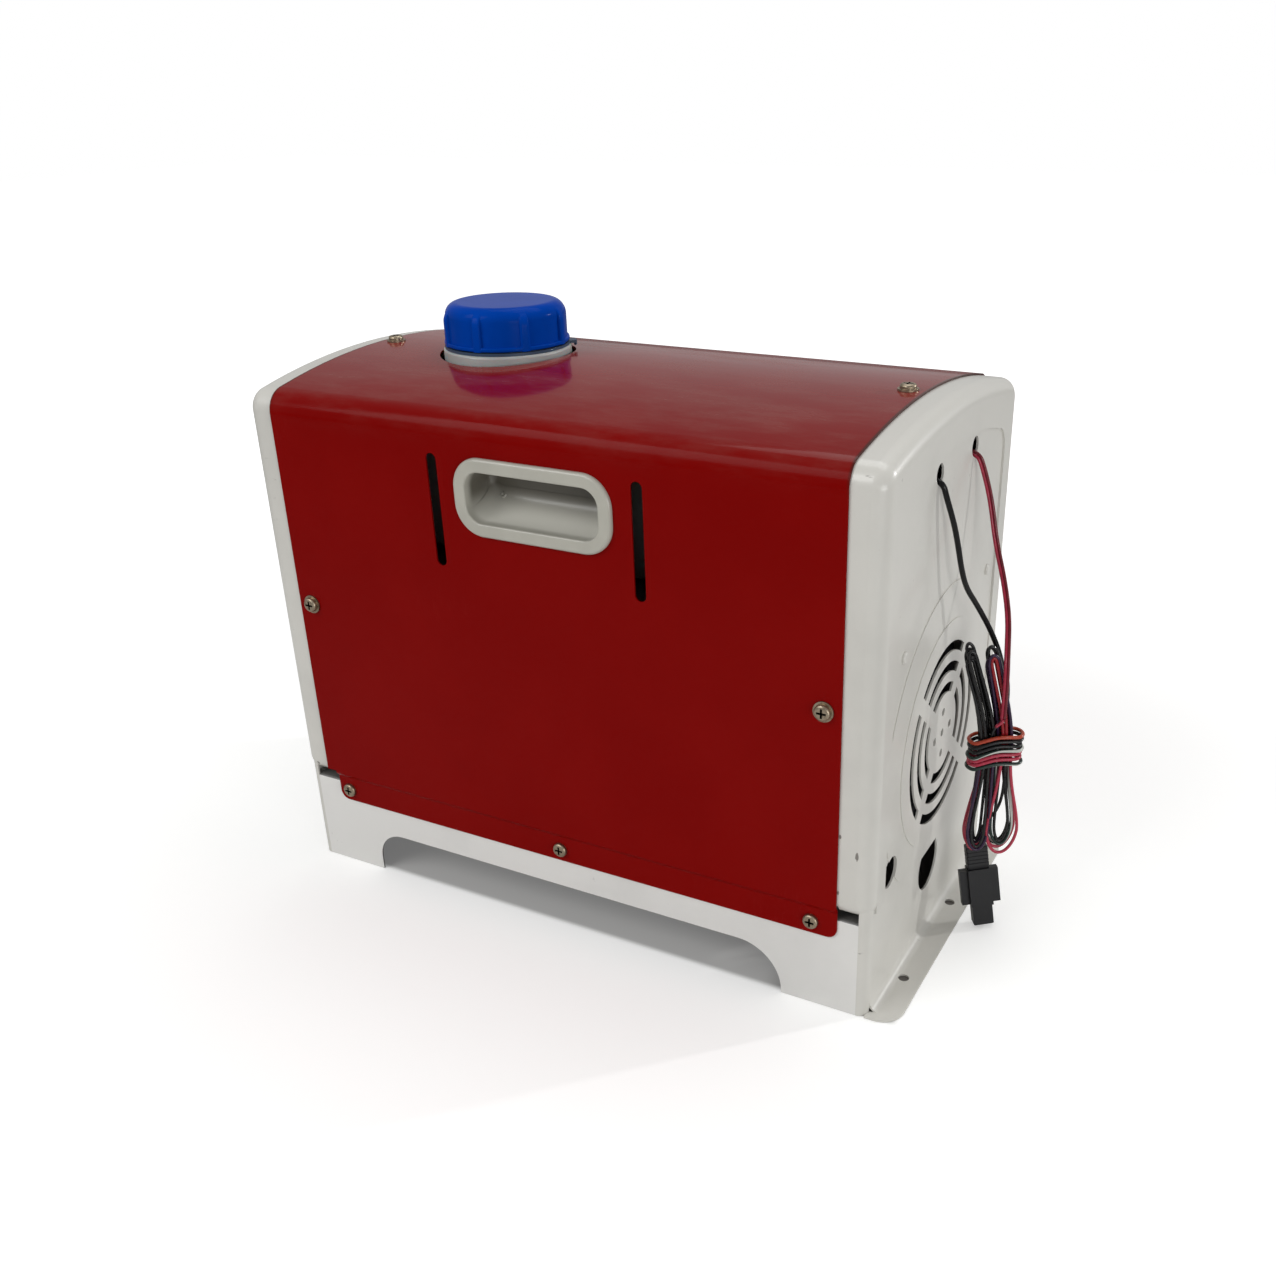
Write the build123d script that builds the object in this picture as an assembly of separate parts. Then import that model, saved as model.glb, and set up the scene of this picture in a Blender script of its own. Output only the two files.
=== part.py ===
from build123d import *
from collections import namedtuple

import math
import os

# A self-contained diesel air heater: a burner and its blower lie along X on the deck of a steel
# base, a fuel tank sits on a tray above them, and a red sheet cover wraps front, top and back
# between two pressed white end panels. Millimetres. The origin is on the floor, under the
# centre of the overall length and depth. The front faces -Y and the air intake is at +X.

# ---------------------------------------------------------------- driving dimensions: enclosure
SKIRT_LENGTH = 390.0          # steel base, end to end
SKIRT_DEPTH = 214.0           # steel base, front to back
DECK_HEIGHT = 62.5            # top of the base
BASE_GAUGE = 1.2
BASE_BEND = 2.4               # outside radius of the folds along the base
FOOT_LENGTH = 46.5            # solid ends of the skirt that touch the floor
ARCH_HEIGHT = 30.0            # cut-out between the feet
ARCH_RADIUS_LEFT = 20.0
ARCH_RADIUS_RIGHT = 28.0

END_PROUD = 7.5               # end panel face, beyond the end of the skirt
END_GAUGE = 1.2
END_ROUND = 9.2               # pressed corner between an end face and its rim
LOW_ROUND = 6.2               # the same corner below the rim
RIM_BOTTOM = 65.7             # lower edge of the rim, above the floor
RIM_CORNER = 10.2             # rounding of the rim's lower corners
RIM_FLOOR = 14.0              # strip of the rim's floor left at each side
END_LIP = 18.5                # how far the rim reaches in under the cover
RECESS_DEPTH = 1.2            # pressed field of the end face, level with the wall below the rim
RECESS_SIDE = 22.5            # border left round the pressed field, at the sides
RECESS_TOP = 25.6             # and at the top
RECESS_CROWN = 280.0          # radius of the field's upper edge
RECESS_BOTTOM = 60.0          # where the field runs out in the wall below the rim
RECESS_CORNER = 16.0
BORDER_BOTTOM = 67.4          # lower end of the border
GRILLE_STEP = 0.6             # shallower ring of the field round the grille
GRILLE_STEP_RADIUS = 92.0

FLANGE_REACH = 17.0           # floor flange, out from the end face
FLANGE_BEND = 6.0
FLANGE_CORNER = 14.0
FLANGE_HOLE_RADIUS = 3.25
FLANGE_HOLE_OFFSET = 6.1      # hole centres, out from the end face
FLANGE_HOLE_YS = (-64.0, 22.0)

COVER_SHOWN = 12.5            # skirt left clear of the cover at each end
COVER_PROUD = 3.0             # cover, out from the face of the skirt
COVER_GAUGE = 1.0
COVER_CREST = 333.0           # top of the cover above the floor
CROWN_RADIUS = 467.0
SHOULDER_RADIUS = 14.0
COVER_GAP = 0.15              # cover to rim
JOG_HEIGHT = 68.0             # fold where the cover steps in to lie on the skirt
JOG_RISE = 3.0
STRIP_BOTTOM = 49.5           # lower edge of the cover
STRIP_INSET = 7.0             # strip starts this far in from the cover's left edge
STRIP_CORNER = 6.0

SLOT_SPACING = 132.0          # upright vent slots each side of the handle
SLOT_WIDTH = 7.0
SLOT_LENGTH = 66.0
SLOT_CENTRE_HEIGHT = 265.5

HANDLE_WIDTH = 102.0
HANDLE_HEIGHT = 45.0
HANDLE_CENTRE_HEIGHT = 277.0
HANDLE_CORNER = 18.0
HANDLE_BORDER = 8.0           # bezel width
HANDLE_PROUD = 2.6
HANDLE_DEPTH = 25.0           # finger room behind the cover
HANDLE_WALL = 1.8
HANDLE_FIT = 0.3

# ---------------------------------------------------------------- driving dimensions: end face
GRILLE_HEIGHT = 133.5         # axis of the grille, the burner and the outlet
GRILLE_OUTER_RADIUS = 55.5
GRILLE_SLOT_WIDTH = 6.0
GRILLE_PITCH = 12.4
GRILLE_RINGS = 3
GRILLE_SPOKE_WIDTH = 9.5
GRILLE_TURN = 4.5             # degrees the spokes are turned from the diagonals
GRILLE_HUB_HOLE = 2.5
GRILLE_HUB_SPACING = 13.5
GRILLE_PAD_RADIUS = 69.0

WIRE_HOLE_RADIUS = 5.75
WIRE_HOLE_SPACING = 60.0
WIRE_HOLE_HEIGHT = 297.5
SERVICE_HOLE_RADIUS = 9.5
SERVICE_HOLE_Y = -77.5
SERVICE_HOLE_HEIGHT = 81.5
PIPE_HOLE_RADIUS = 17.0       # round below, cut straight across above
PIPE_HOLE_Y = -7.5
PIPE_HOLE_HEIGHT = 46.5
PIPE_HOLE_TOP = 57.0

# ---------------------------------------------------------------- driving dimensions: fasteners
SCREW_SHANK = 2.5
SCREW_HEAD_RADIUS = 4.6
SCREW_HEAD_HEIGHT = 2.6
SCREW_REACH = 9.0
SCREW_RECESS = 1.1            # half width of the cross in the head
SCREW_CLEAR = 0.25
WASHER_RADIUS = 5.8
WASHER_GAUGE = 1.0
SIDE_SCREW_X = 172.5
SIDE_SCREW_HEIGHT = 190.5
STRIP_SCREW_X = 167.0
STRIP_SCREW_HEIGHT = 57.5
TOP_SCREW_Y = -4.0

# ---------------------------------------------------------------- driving dimensions: fuel tank
TRAY_HEIGHT = 221.0
TRAY_GAUGE = 1.2
TRAY_DEPTH = 190.0
TRAY_FLANGE = 20.0
RIVET_RADIUS = 3.4
RIVET_Y = 72.5
RIVET_HEIGHT = 211.0

PAD_XS = (-88.0, 0.0, 96.0)
PAD_THICKNESS = 3.0
PAD_WIDTH = 22.0
TANK_LENGTH = 300.0
TANK_DEPTH = 152.0
TANK_TOP = 319.0
TANK_WALL = 3.0
TANK_CORNER = 16.0
STRAP_XS = (-10.0, 106.0)
STRAP_WIDTH = 20.0
STRAP_GAUGE = 1.0
STRAP_FIT = 0.2
STRAP_FOOT = 15.0
TANK_PORT_X = -128.0
TANK_PORT_Y = -56.0

FILLER_X = -88.0
FILLER_HOLE_RADIUS = 41.6
COLLAR_RADIUS = 38.9
COLLAR_TOP = 336.5
NECK_RADIUS = 33.8
NECK_BORE = 30.0
NECK_TOP = 356.0

CAP_FIT = 0.3
CAP_WALL = 2.2
CAP_ROOF = 3.0
CAP_TOP = 363.0
CAP_DOME = 7.5
CAP_BOTTOM = 338.7
CAP_BEAD = 38.0
CAP_BEAD_HEIGHT = 2.6
CAP_RIBS = 8
CAP_RIB_REACH = 1.9
CAP_RIB_WIDTH = 5.6
CAP_RIB_SHY = 0.8             # top of the ribs, below the top of the dome
CAP_RIB_PHASE = 7.5           # degrees
TAMPER_HEIGHT = 1.6
TAMPER_TAB_REACH = 4.4        # torn end, out from the ring
TAMPER_TAB_WIDTH = 9.5
TAMPER_TAB_DROP = 1.5
TAMPER_TAB_ANGLE = 36.0       # degrees

# ---------------------------------------------------------------- driving dimensions: burner
CASING_LENGTH = 354.0
CASING_RIGHT = 186.0
CASING_WIDTH = 122.0
CASING_HEIGHT = 118.0
CASING_CORNER = 22.0
CASING_WALL = 2.0
CORE_GAP = 0.4                # running round the parts that pass through a wall

EXCHANGER_LEFT = -140.0
EXCHANGER_FLANGE_X = 52.0
EXCHANGER_RADIUS = 42.0
EXCHANGER_WALL = 3.5
EXCHANGER_FINS = 20
FIN_RADIUS = 54.0
FIN_THICKNESS = 2.0
FIN_RIGHT = 30.0
FLANGE_RADIUS = 56.0
FLANGE_THICKNESS = 6.0
FOOT_BLOCK_LENGTH = 60.0
FOOT_BLOCK_WIDTH = 76.0
FOOT_LIP = 4.0                # ledge that carries the casing
STUD_RADIUS = 3.0
STUD_SPACING_X = 44.0
STUD_SPACING_Y = 60.0
STUD_DROP = 9.0
NUT_ACROSS_FLATS = 10.0
NUT_HEIGHT = 5.0
THREAD_FIT = 0.05
GASKET_THICKNESS = 2.0
EXHAUST_RADIUS = 12.0
EXHAUST_WALL = 1.2
EXHAUST_END = 22.0
EXHAUST_SOCKET = 12.0
PIPE_CLEARANCE = 2.0
HOSE_STOP = 54.0              # foot of the bead that a pushed-on hose meets
HOSE_STOP_LENGTH = 2.0
HOSE_STOP_REACH = 0.8
HOSE_STOP_ROUND = 0.5

BURNER_LEFT = -50.0
BURNER_RADIUS = 30.0
BURNER_WALL = 1.5
BURNER_PLATE = 2.0
BURNER_GASKET = 1.5
BURNER_PORTS = 12
BOLT_CIRCLE = 49.0
BOLT_RADIUS = 2.5
PLUG_X = 38.0
PLUG_RADIUS = 4.0
PLUG_TIP_RADIUS = 2.2
PLUG_SEAT = 8.0               # boss height above the exchanger
FUEL_PIPE_RADIUS = 2.4
FUEL_PIPE_OUT = 9.0           # beyond the casing
FUEL_PIPE_GRIP = 8.0          # covered by its hose
FUEL_LINE_X = 45.0
SENSOR_X = 20.0
SENSOR_RADIUS = 4.0
SENSOR_HEIGHT = 8.0

HOUSING_STEP = 18.5
HOUSING_LENGTH = 88.5
HOUSING_RADIUS = 36.0
HOUSING_BORE = 32.5
HOUSING_WALL = 4.0
MOTOR_RADIUS = 32.45
MOTOR_LENGTH = 64.0
MOTOR_WALL = 2.0
BEARING_RADIUS = 9.5
BEARING_WIDTH = 6.0
BEARING_SEAT_FIT = 0.02
SHAFT_RADIUS = 3.0
SHAFT_FIT = 0.03
HUB_FIT = 0.01
SHAFT_LEFT = 65.5
SHAFT_RIGHT = 184.0
ARMATURE_RADIUS = 22.5
ARMATURE_LENGTH = 38.0
ARMATURE_POLES = 8
SLOT_GAP = 3.0
MAGNET_THICKNESS = 6.0
WHEEL_RADIUS = 29.0
WHEEL_THICKNESS = 8.0
WHEEL_BLADES = 16
WHEEL_GAP = 3.0
IMPELLER_LEFT = 158.0
IMPELLER_WIDTH = 22.0
IMPELLER_RADIUS = 51.5
IMPELLER_HUB = 18.0
IMPELLER_BLADES = 9
IMPELLER_PITCH = 32.0         # degrees
GUARD_BAR = 3.0
AIR_STUB_RADIUS = 9.0
AIR_STUB_WALL = 1.2
AIR_STUB_END = 26.0

CONTROL_X = 84.0
CONTROL_LENGTH = 58.0
CONTROL_WIDTH = 66.0
CONTROL_HEIGHT = 14.0
CONTROL_WALL = 1.6
CONTROL_PAD = 2.0
BOARD_LIFT = 3.0
BOARD_THICKNESS = 1.6

OUTLET_RADIUS = 37.5
OUTLET_WALL = 2.0
OUTLET_REACH = 17.0           # spigot, out from the left end face
OUTLET_CLEARANCE = 1.0
OUTLET_BEAD = 0.7
OUTLET_BEAD_LENGTH = 2.1
OUTLET_BEAD_ROUND = 0.4
OUTLET_BEAD_GAP = 0.5         # from the end panel's face
HOOD_TAPER = 18.0

# ---------------------------------------------------------------- driving dimensions: fuel line
LINE_Y = -86.5
LINE_HEIGHT = 120.0
PUMP_X = -36.0
PUMP_LENGTH = 90.0
PUMP_RADIUS = 15.0
PUMP_WALL = 2.0
NOZZLE_RADIUS = 2.45
NOZZLE_LENGTH = 12.0
NOZZLE_BORE = 1.4
HOSE_GRIP = 10.0              # nozzle covered by its hose
PLUNGER_RADIUS = 5.0
PLUNGER_LENGTH = 30.0
PLUNGER_FIT = 0.05
SPRING_WIRE = 0.5
SPRING_LENGTH = 20.0
PUMP_SLEEVE = 4.0
PUMP_BAND = 1.5
PUMP_BAND_WIDTH = 26.0
FILTER_X = -133.5
FILTER_LENGTH = 45.0
FILTER_RADIUS = 11.0
HOSE_RADIUS = 3.2
HOSE_BORE = 2.5
HOSE_BEND = 20.0
FEED_BEND = 16.0              # last bend, between pump and burner
PUMP_FOOT = 26.0              # bracket foot, along X
PUMP_FOOT_SCREW = -20.0       # its screw, from the middle of the pump

# ---------------------------------------------------------------- driving dimensions: wiring
CORD_RADIUS = 1.55            # black lead
PAIR_RADIUS = 1.4             # red and black pair, taken together
STRAND_RADIUS = 0.95          # wires in the hank
WRAP_RADIUS = 1.1             # wires that tie the hank's waist
WIRE_SAG = 3.4                # leads lie this far below the middle of their holes
LEAD_RADIUS = 1.4             # leads inside the heater
LEAD_SPREAD = 20.0
LEAD_EXIT_X = 134.0
LEAD_RISER_X = 178.0
LEAD_RISER_Y = 24.0
LEAD_BEND = 9.0
JOINT_X = 197.0               # where the leads inside meet the free ones, in their holes
ARC_SHARE = 0.45
HANK_X = 231.9
HANK_Y = 7.8
HANK_TURN = 29.2              # degrees; the hank's flat side faces this far from -Y
HANK_OFFSET = 0.6
HANK_STEP = 2.52              # wire to wire, across and from layer to layer
HANK_LAYERS = 4
HANK_SLOTS = 2
WAIST_HEIGHT = 126.0
WAIST_REACH = 15.0
HANK_LEAN = 10.0              # degrees; upper loops lean towards the heater
WRAP_TURNS = 7
WRAP_PITCH = 2.9
WRAP_BEND = 2.4
TIE_GAP = 0.3
ENTRY_DROP = 27.0             # free leads meet the hank this far above the middle of its waist
CONNECTOR_LOW = (3.0, 0.8, 1.5)
CONNECTOR_HIGH = (-4.3, 10.7, 60.2)
CONNECTOR_THICK = 8.0
SOCKET_WIDTH = 13.5
SOCKET_LENGTH = 21.8
PLUG_WIDTH = 12.5
PLUG_LENGTH = 13.5
SHROUD_WIDTH = 24.0
SHROUD_CORE = 14.0
SHROUD_WING = 5.0
CONNECTOR_LEADS = 6.0         # apart

# ---------------------------------------------------------------- sizes worked out from these
HALF_SKIRT = SKIRT_LENGTH / 2
HALF_DEPTH = SKIRT_DEPTH / 2
HALF_COVER = HALF_DEPTH + COVER_PROUD
COVER_LENGTH = SKIRT_LENGTH - 2 * COVER_SHOWN
END_FACE = HALF_SKIRT + END_PROUD
LOW_FACE = END_FACE - RECESS_DEPTH
END_INNER = LOW_FACE - END_GAUGE
RIM_INSET = COVER_GAUGE + COVER_GAP
COVER_END = COVER_LENGTH / 2
LIP_END = COVER_END - END_LIP
TRAY_TOP = TRAY_HEIGHT + TRAY_GAUGE
TANK_BOTTOM = TRAY_TOP + PAD_THICKNESS
CASING_LEFT = CASING_RIGHT - CASING_LENGTH
CASING_BOTTOM = GRILLE_HEIGHT - CASING_HEIGHT / 2
GASKET_TOP = DECK_HEIGHT + GASKET_THICKNESS
BURNER_GASKET_X = EXCHANGER_FLANGE_X + FLANGE_THICKNESS
BURNER_PLATE_X = BURNER_GASKET_X + BURNER_GASKET
HOUSING_X = BURNER_PLATE_X + BURNER_PLATE
MOTOR_X = HOUSING_X + HOUSING_STEP
AIR_STUB_X = HOUSING_X + HOUSING_STEP / 2
HALF_WIRES = WIRE_HOLE_SPACING / 2
SENSOR_SEAT = GRILLE_HEIGHT + EXCHANGER_RADIUS + 1
PAD_TOP = GRILLE_HEIGHT + HOUSING_RADIUS + CONTROL_PAD
PLUNGER_X = PUMP_X - (PLUNGER_LENGTH + SPRING_LENGTH) / 2
SPRING_START = PLUNGER_X + PLUNGER_LENGTH
SPRING_END = SPRING_START + SPRING_LENGTH


# ---------------------------------------------------------------- helpers
def block(x0, x1, y0, y1, z0, z1):
    """A box between two opposite corners."""
    return Pos((x0 + x1) / 2, (y0 + y1) / 2, (z0 + z1) / 2) * Box(x1 - x0, y1 - y0, z1 - z0)


def rod_x(radius, x0, x1, y=0.0, z=GRILLE_HEIGHT):
    """A cylinder along X."""
    return Pos((x0 + x1) / 2, y, z) * Rot(0, 90, 0) * Cylinder(radius, x1 - x0)


def rod_y(radius, y0, y1, x, z):
    """A cylinder along Y."""
    return Pos(x, (y0 + y1) / 2, z) * Rot(90, 0, 0) * Cylinder(radius, y1 - y0)


def rod_z(radius, z0, z1, x=0.0, y=0.0):
    """A cylinder along Z."""
    return Pos(x, y, (z0 + z1) / 2) * Cylinder(radius, z1 - z0)


def tube_x(outer, inner, x0, x1, y=0.0, z=GRILLE_HEIGHT):
    """A pipe along X."""
    return rod_x(outer, x0, x1, y, z) - rod_x(inner, x0 - 1, x1 + 1, y, z)


def arch(inset, bottom):
    """The cover's outline across the object, moved in by inset and closed at bottom."""
    half = HALF_COVER - inset
    top = COVER_CREST - inset
    slab = Pos(0, (bottom + top + 1) / 2) * Rectangle(2 * half, top + 1 - bottom)
    crown = Pos(0, COVER_CREST - CROWN_RADIUS) * Circle(CROWN_RADIUS - inset)
    shape = slab & crown
    shoulders = shape.vertices().group_by(Axis.Y)[-1]
    return fillet(shoulders, SHOULDER_RADIUS - inset)


def along_x(sketch, x0, x1):
    """Extrudes an outline drawn in Y and Z from x0 to x1."""
    plane = Plane(origin=(x0, 0, 0), x_dir=(0, 1, 0), z_dir=(1, 0, 0))
    return extrude(plane * sketch, x1 - x0)


def along_y(sketch, y0, y1):
    """Extrudes an outline drawn in X and Z from y0 to y1."""
    plane = Plane(origin=(0, y0, 0), x_dir=(1, 0, 0), z_dir=(0, -1, 0))
    return extrude(plane * sketch, y0 - y1)


def both_sides(solid):
    """A shape and its mirror image across the middle of the depth."""
    return solid + mirror(solid, Plane.XZ)


def pan_head(recess=True):
    """A cross-recessed screw pointing down -Z, seated at z = 0."""
    head = rod_z(SCREW_HEAD_RADIUS, 0, SCREW_HEAD_HEIGHT)
    head = fillet(head.edges().group_by(Axis.Z)[-1], SCREW_HEAD_HEIGHT * 0.6)
    screw = head + rod_z(SCREW_SHANK, -SCREW_REACH, 0)
    if recess:
        depth = SCREW_HEAD_HEIGHT * 0.7
        arm = SCREW_HEAD_RADIUS * 0.6
        low = SCREW_HEAD_HEIGHT - depth
        for width_x, width_y in ((arm, SCREW_RECESS / 2), (SCREW_RECESS / 2, arm)):
            screw -= block(-width_x, width_x, -width_y, width_y, low, SCREW_HEAD_HEIGHT + 1)
    return screw


def washer():
    """A flat washer lying on z = 0."""
    ring = rod_z(WASHER_RADIUS, 0, WASHER_GAUGE)
    return ring - rod_z(SCREW_SHANK + SCREW_CLEAR, -1, WASHER_GAUGE + 1)


def facing(x, y, z, turn_x, turn_y=0.0):
    """A place whose own +Z points out of the surface there."""
    return Pos(x, y, z) * Rot(turn_x, turn_y, 0)


SIDE_PLACES = [
    facing(sx * SIDE_SCREW_X, side * HALF_COVER, SIDE_SCREW_HEIGHT, -side * 90)
    for sx in (-1, 1) for side in (-1, 1)
]
TOP_PLACES = [
    facing(sx * SIDE_SCREW_X, TOP_SCREW_Y, COVER_CREST, 0) for sx in (-1, 1)
]
STRIP_PLACES = [
    facing(x, side * (HALF_DEPTH + COVER_GAUGE), STRIP_SCREW_HEIGHT, -side * 90)
    for x in (-STRIP_SCREW_X, 0.0, STRIP_SCREW_X) for side in (-1, 1)
]


def screw_holes(places):
    """Clearance drills for a set of screws."""
    drill = rod_z(SCREW_SHANK + SCREW_CLEAR, -SCREW_REACH - 3, 3)
    return [place * drill for place in places]


# ---------------------------------------------------------------- enclosure
def base_frame():
    """Folded steel channel: deck and two skirts whose feet stand on the floor."""
    outer = block(-HALF_SKIRT, HALF_SKIRT, -HALF_DEPTH, HALF_DEPTH, 0, DECK_HEIGHT)
    outer = fillet(outer.edges().filter_by(Axis.X).group_by(Axis.Z)[-1], BASE_BEND)
    inner = block(-HALF_SKIRT - 1, HALF_SKIRT + 1, -HALF_DEPTH + BASE_GAUGE,
                  HALF_DEPTH - BASE_GAUGE, -1, DECK_HEIGHT - BASE_GAUGE)
    inner = fillet(inner.edges().filter_by(Axis.X).group_by(Axis.Z)[-1], BASE_BEND - BASE_GAUGE)
    left = -HALF_SKIRT + FOOT_LENGTH
    right = HALF_SKIRT - FOOT_LENGTH
    arch_cut = block(left, right, -HALF_DEPTH - 1, HALF_DEPTH + 1, -1, ARCH_HEIGHT)
    upper = arch_cut.edges().filter_by(Axis.Y).group_by(Axis.Z)[-1].sort_by(Axis.X)
    arch_cut = fillet(upper[0], ARCH_RADIUS_LEFT)
    upper = arch_cut.edges().filter_by(Axis.Y).group_by(Axis.Z)[-1].sort_by(Axis.X)
    arch_cut = fillet(upper[-1], ARCH_RADIUS_RIGHT)
    frame = outer - inner - arch_cut
    low = DECK_HEIGHT - BASE_GAUGE - 1
    high = DECK_HEIGHT + 1
    frame -= rod_z(EXHAUST_RADIUS + PIPE_CLEARANCE, low, high)
    frame -= rod_z(AIR_STUB_RADIUS + PIPE_CLEARANCE, low, high, AIR_STUB_X)
    for sx in (-1, 1):
        for sy in (-1, 1):
            frame -= rod_z(STUD_RADIUS + SCREW_CLEAR, low, high,
                           sx * STUD_SPACING_X / 2, sy * STUD_SPACING_Y / 2)
    for hole in screw_holes(STRIP_PLACES):
        frame -= hole
    frame -= rod_z(SCREW_SHANK + SCREW_CLEAR, low, high, PUMP_X + PUMP_FOOT_SCREW, LINE_Y)
    return frame


def recess_outline(grow=0.0):
    """Pressed field of an end face, a rounded arch drawn in Y and Z."""
    half = HALF_COVER - RECESS_SIDE + grow
    top = COVER_CREST - RECESS_TOP + grow
    bottom = RECESS_BOTTOM
    crown = Pos(0, top - RECESS_CROWN) * Circle(RECESS_CROWN)
    shape = (Pos(0, (bottom + top) / 2) * Rectangle(2 * half, top - bottom)) & crown
    upper = shape.vertices().group_by(Axis.Y)[-1]
    return fillet(upper, RECESS_CORNER)


def end_shell(inset):
    """Body of an end panel, moved in by inset: the block above the rim's edge and the one below."""
    low = RIM_BOTTOM + inset
    upper = along_x(arch(RIM_INSET + inset, low), LIP_END - 1, END_FACE - inset)
    bottoms = upper.edges().filter_by(Axis.X).group_by(Axis.Z)[0]
    upper = fillet(bottoms, RIM_CORNER - inset)
    rims = [e for e in upper.edges().group_by(Axis.X)[-1] if e.center().Z > low + 0.01]
    upper = fillet(rims, END_ROUND - inset)
    wide = HALF_DEPTH - inset
    lower = block(HALF_SKIRT, LOW_FACE - inset, -wide, wide, 0, low + RIM_CORNER)
    lower = fillet(lower.edges().filter_by(Axis.Z).group_by(Axis.X)[-1], LOW_ROUND - inset)
    return upper, lower


def grille_cut(face_x):
    """Three rings of arc slots broken by four spokes, and five small holes at the hub."""
    x0, x1 = face_x - 4, face_x + 3
    cuts = None
    for ring in range(GRILLE_RINGS):
        outer = GRILLE_OUTER_RADIUS - ring * GRILLE_PITCH
        slot = tube_x(outer, outer - GRILLE_SLOT_WIDTH, x0, x1)
        cuts = slot if cuts is None else cuts + slot
    reach = 2 * GRILLE_OUTER_RADIUS + 4
    for turn in (45 + GRILLE_TURN, 135 + GRILLE_TURN):
        spoke = Pos(face_x, 0, GRILLE_HEIGHT) * Rot(turn, 0, 0) * Box(12, reach, GRILLE_SPOKE_WIDTH)
        cuts -= spoke
    hub = [(0, 0)] + [(sy * GRILLE_HUB_SPACING, 0) for sy in (-1, 1)]
    hub += [(0, sz * GRILLE_HUB_SPACING) for sz in (-1, 1)]
    for dy, dz in hub:
        cuts += rod_x(GRILLE_HUB_HOLE, x0, x1, dy, GRILLE_HEIGHT + dz)
    return cuts


def end_panel():
    """Pressed pan of the right end, before its openings are cut."""
    upper, lower = end_shell(0)
    inner_up, inner_low = end_shell(END_GAUGE)
    side = HALF_COVER - RIM_INSET - END_ROUND
    border = block(LOW_FACE - 1, END_FACE, -side, side, BORDER_BOTTOM, BORDER_BOTTOM + RIM_CORNER)
    edges = border.edges().group_by(Axis.X)[-1].group_by(Axis.Z)[0]
    lower += fillet(edges, RECESS_DEPTH * 0.9)
    half = HALF_DEPTH - RIM_FLOOR
    open_floor = block(LIP_END - 2, END_INNER, -half, half, 0, RIM_BOTTOM + 20)
    under_lip = block(LIP_END - 2, COVER_END + 0.5, -HALF_COVER, HALF_COVER,
                      0, JOG_HEIGHT + JOG_RISE + COVER_GAUGE)
    low_cut = block(HALF_SKIRT - 1, HALF_SKIRT, -HALF_COVER, HALF_COVER, 0, RIM_BOTTOM)
    pan = upper + lower - inner_up - inner_low - open_floor - under_lip - low_cut
    pan -= block(LIP_END - 2, LIP_END, -HALF_COVER, HALF_COVER, 0, COVER_CREST)
    axis = Pos(0, GRILLE_HEIGHT)
    pad = axis * Circle(GRILLE_PAD_RADIUS)
    ring = axis * Circle(GRILLE_STEP_RADIUS)
    backing = recess_outline(END_GAUGE) - axis * Circle(GRILLE_PAD_RADIUS - END_GAUGE)
    pan += along_x(backing, END_INNER, END_FACE - END_GAUGE)
    pan -= along_x(recess_outline() - ring, LOW_FACE, END_FACE + 1)
    pan -= along_x((recess_outline() & ring) - pad, END_FACE - GRILLE_STEP, END_FACE + 1)
    for sy in (-1, 1):
        pan -= rod_x(RIVET_RADIUS / 2, END_INNER - 3, END_FACE + 3, sy * RIVET_Y, RIVET_HEIGHT)
    return pan


def right_end_panel():
    """Intake end: grille, wire holes, pipe holes and the flange that screws to the floor."""
    pan = end_panel()
    toe = END_FACE + FLANGE_REACH
    flange = block(END_INNER, toe, -HALF_DEPTH, HALF_DEPTH, 0, END_GAUGE)
    corners = flange.edges().filter_by(Axis.Z).group_by(Axis.X)[-1]
    flange = fillet(corners, FLANGE_CORNER)
    side = HALF_DEPTH - LOW_ROUND
    under = FLANGE_BEND + END_GAUGE
    bend_x = LOW_FACE + FLANGE_BEND
    cove = block(END_INNER, bend_x, -side, side, 0, under)
    cove -= rod_y(FLANGE_BEND, -side - 1, side + 1, bend_x, under)
    relief = block(END_INNER - 1, bend_x, -side - 0.5, side + 0.5, -1, under)
    relief -= rod_y(under, -side - 2, side + 2, bend_x, under)
    pan += flange + cove
    pan -= relief
    pan -= block(HALF_SKIRT, END_INNER, -side, side, -1, END_GAUGE)
    for y in FLANGE_HOLE_YS:
        pan -= rod_z(FLANGE_HOLE_RADIUS, -1, END_GAUGE + 1, END_FACE + FLANGE_HOLE_OFFSET, y)
    pan -= grille_cut(END_FACE)
    x0, x1 = END_INNER - 2, END_FACE + 2
    for sy in (-1, 1):
        pan -= rod_x(WIRE_HOLE_RADIUS, x0, x1, sy * HALF_WIRES, WIRE_HOLE_HEIGHT)
    pan -= rod_x(SERVICE_HOLE_RADIUS, x0, x1, SERVICE_HOLE_Y, SERVICE_HOLE_HEIGHT)
    pipe = rod_x(PIPE_HOLE_RADIUS, x0, x1, PIPE_HOLE_Y, PIPE_HOLE_HEIGHT)
    pan -= pipe & block(x0, x1, PIPE_HOLE_Y - PIPE_HOLE_RADIUS, PIPE_HOLE_Y + PIPE_HOLE_RADIUS,
                        0, PIPE_HOLE_TOP)
    for hole in screw_holes(SIDE_PLACES + TOP_PLACES):
        pan -= hole
    return pan


def left_end_panel():
    """Outlet end: the same pressing turned about, with one round opening for the spigot."""
    pan = mirror(end_panel(), Plane.YZ)
    opening = OUTLET_RADIUS + OUTLET_CLEARANCE
    pan -= rod_x(opening, -END_FACE - 3, -END_INNER + 3)
    for hole in screw_holes(SIDE_PLACES + TOP_PLACES):
        pan -= hole
    return pan


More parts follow.
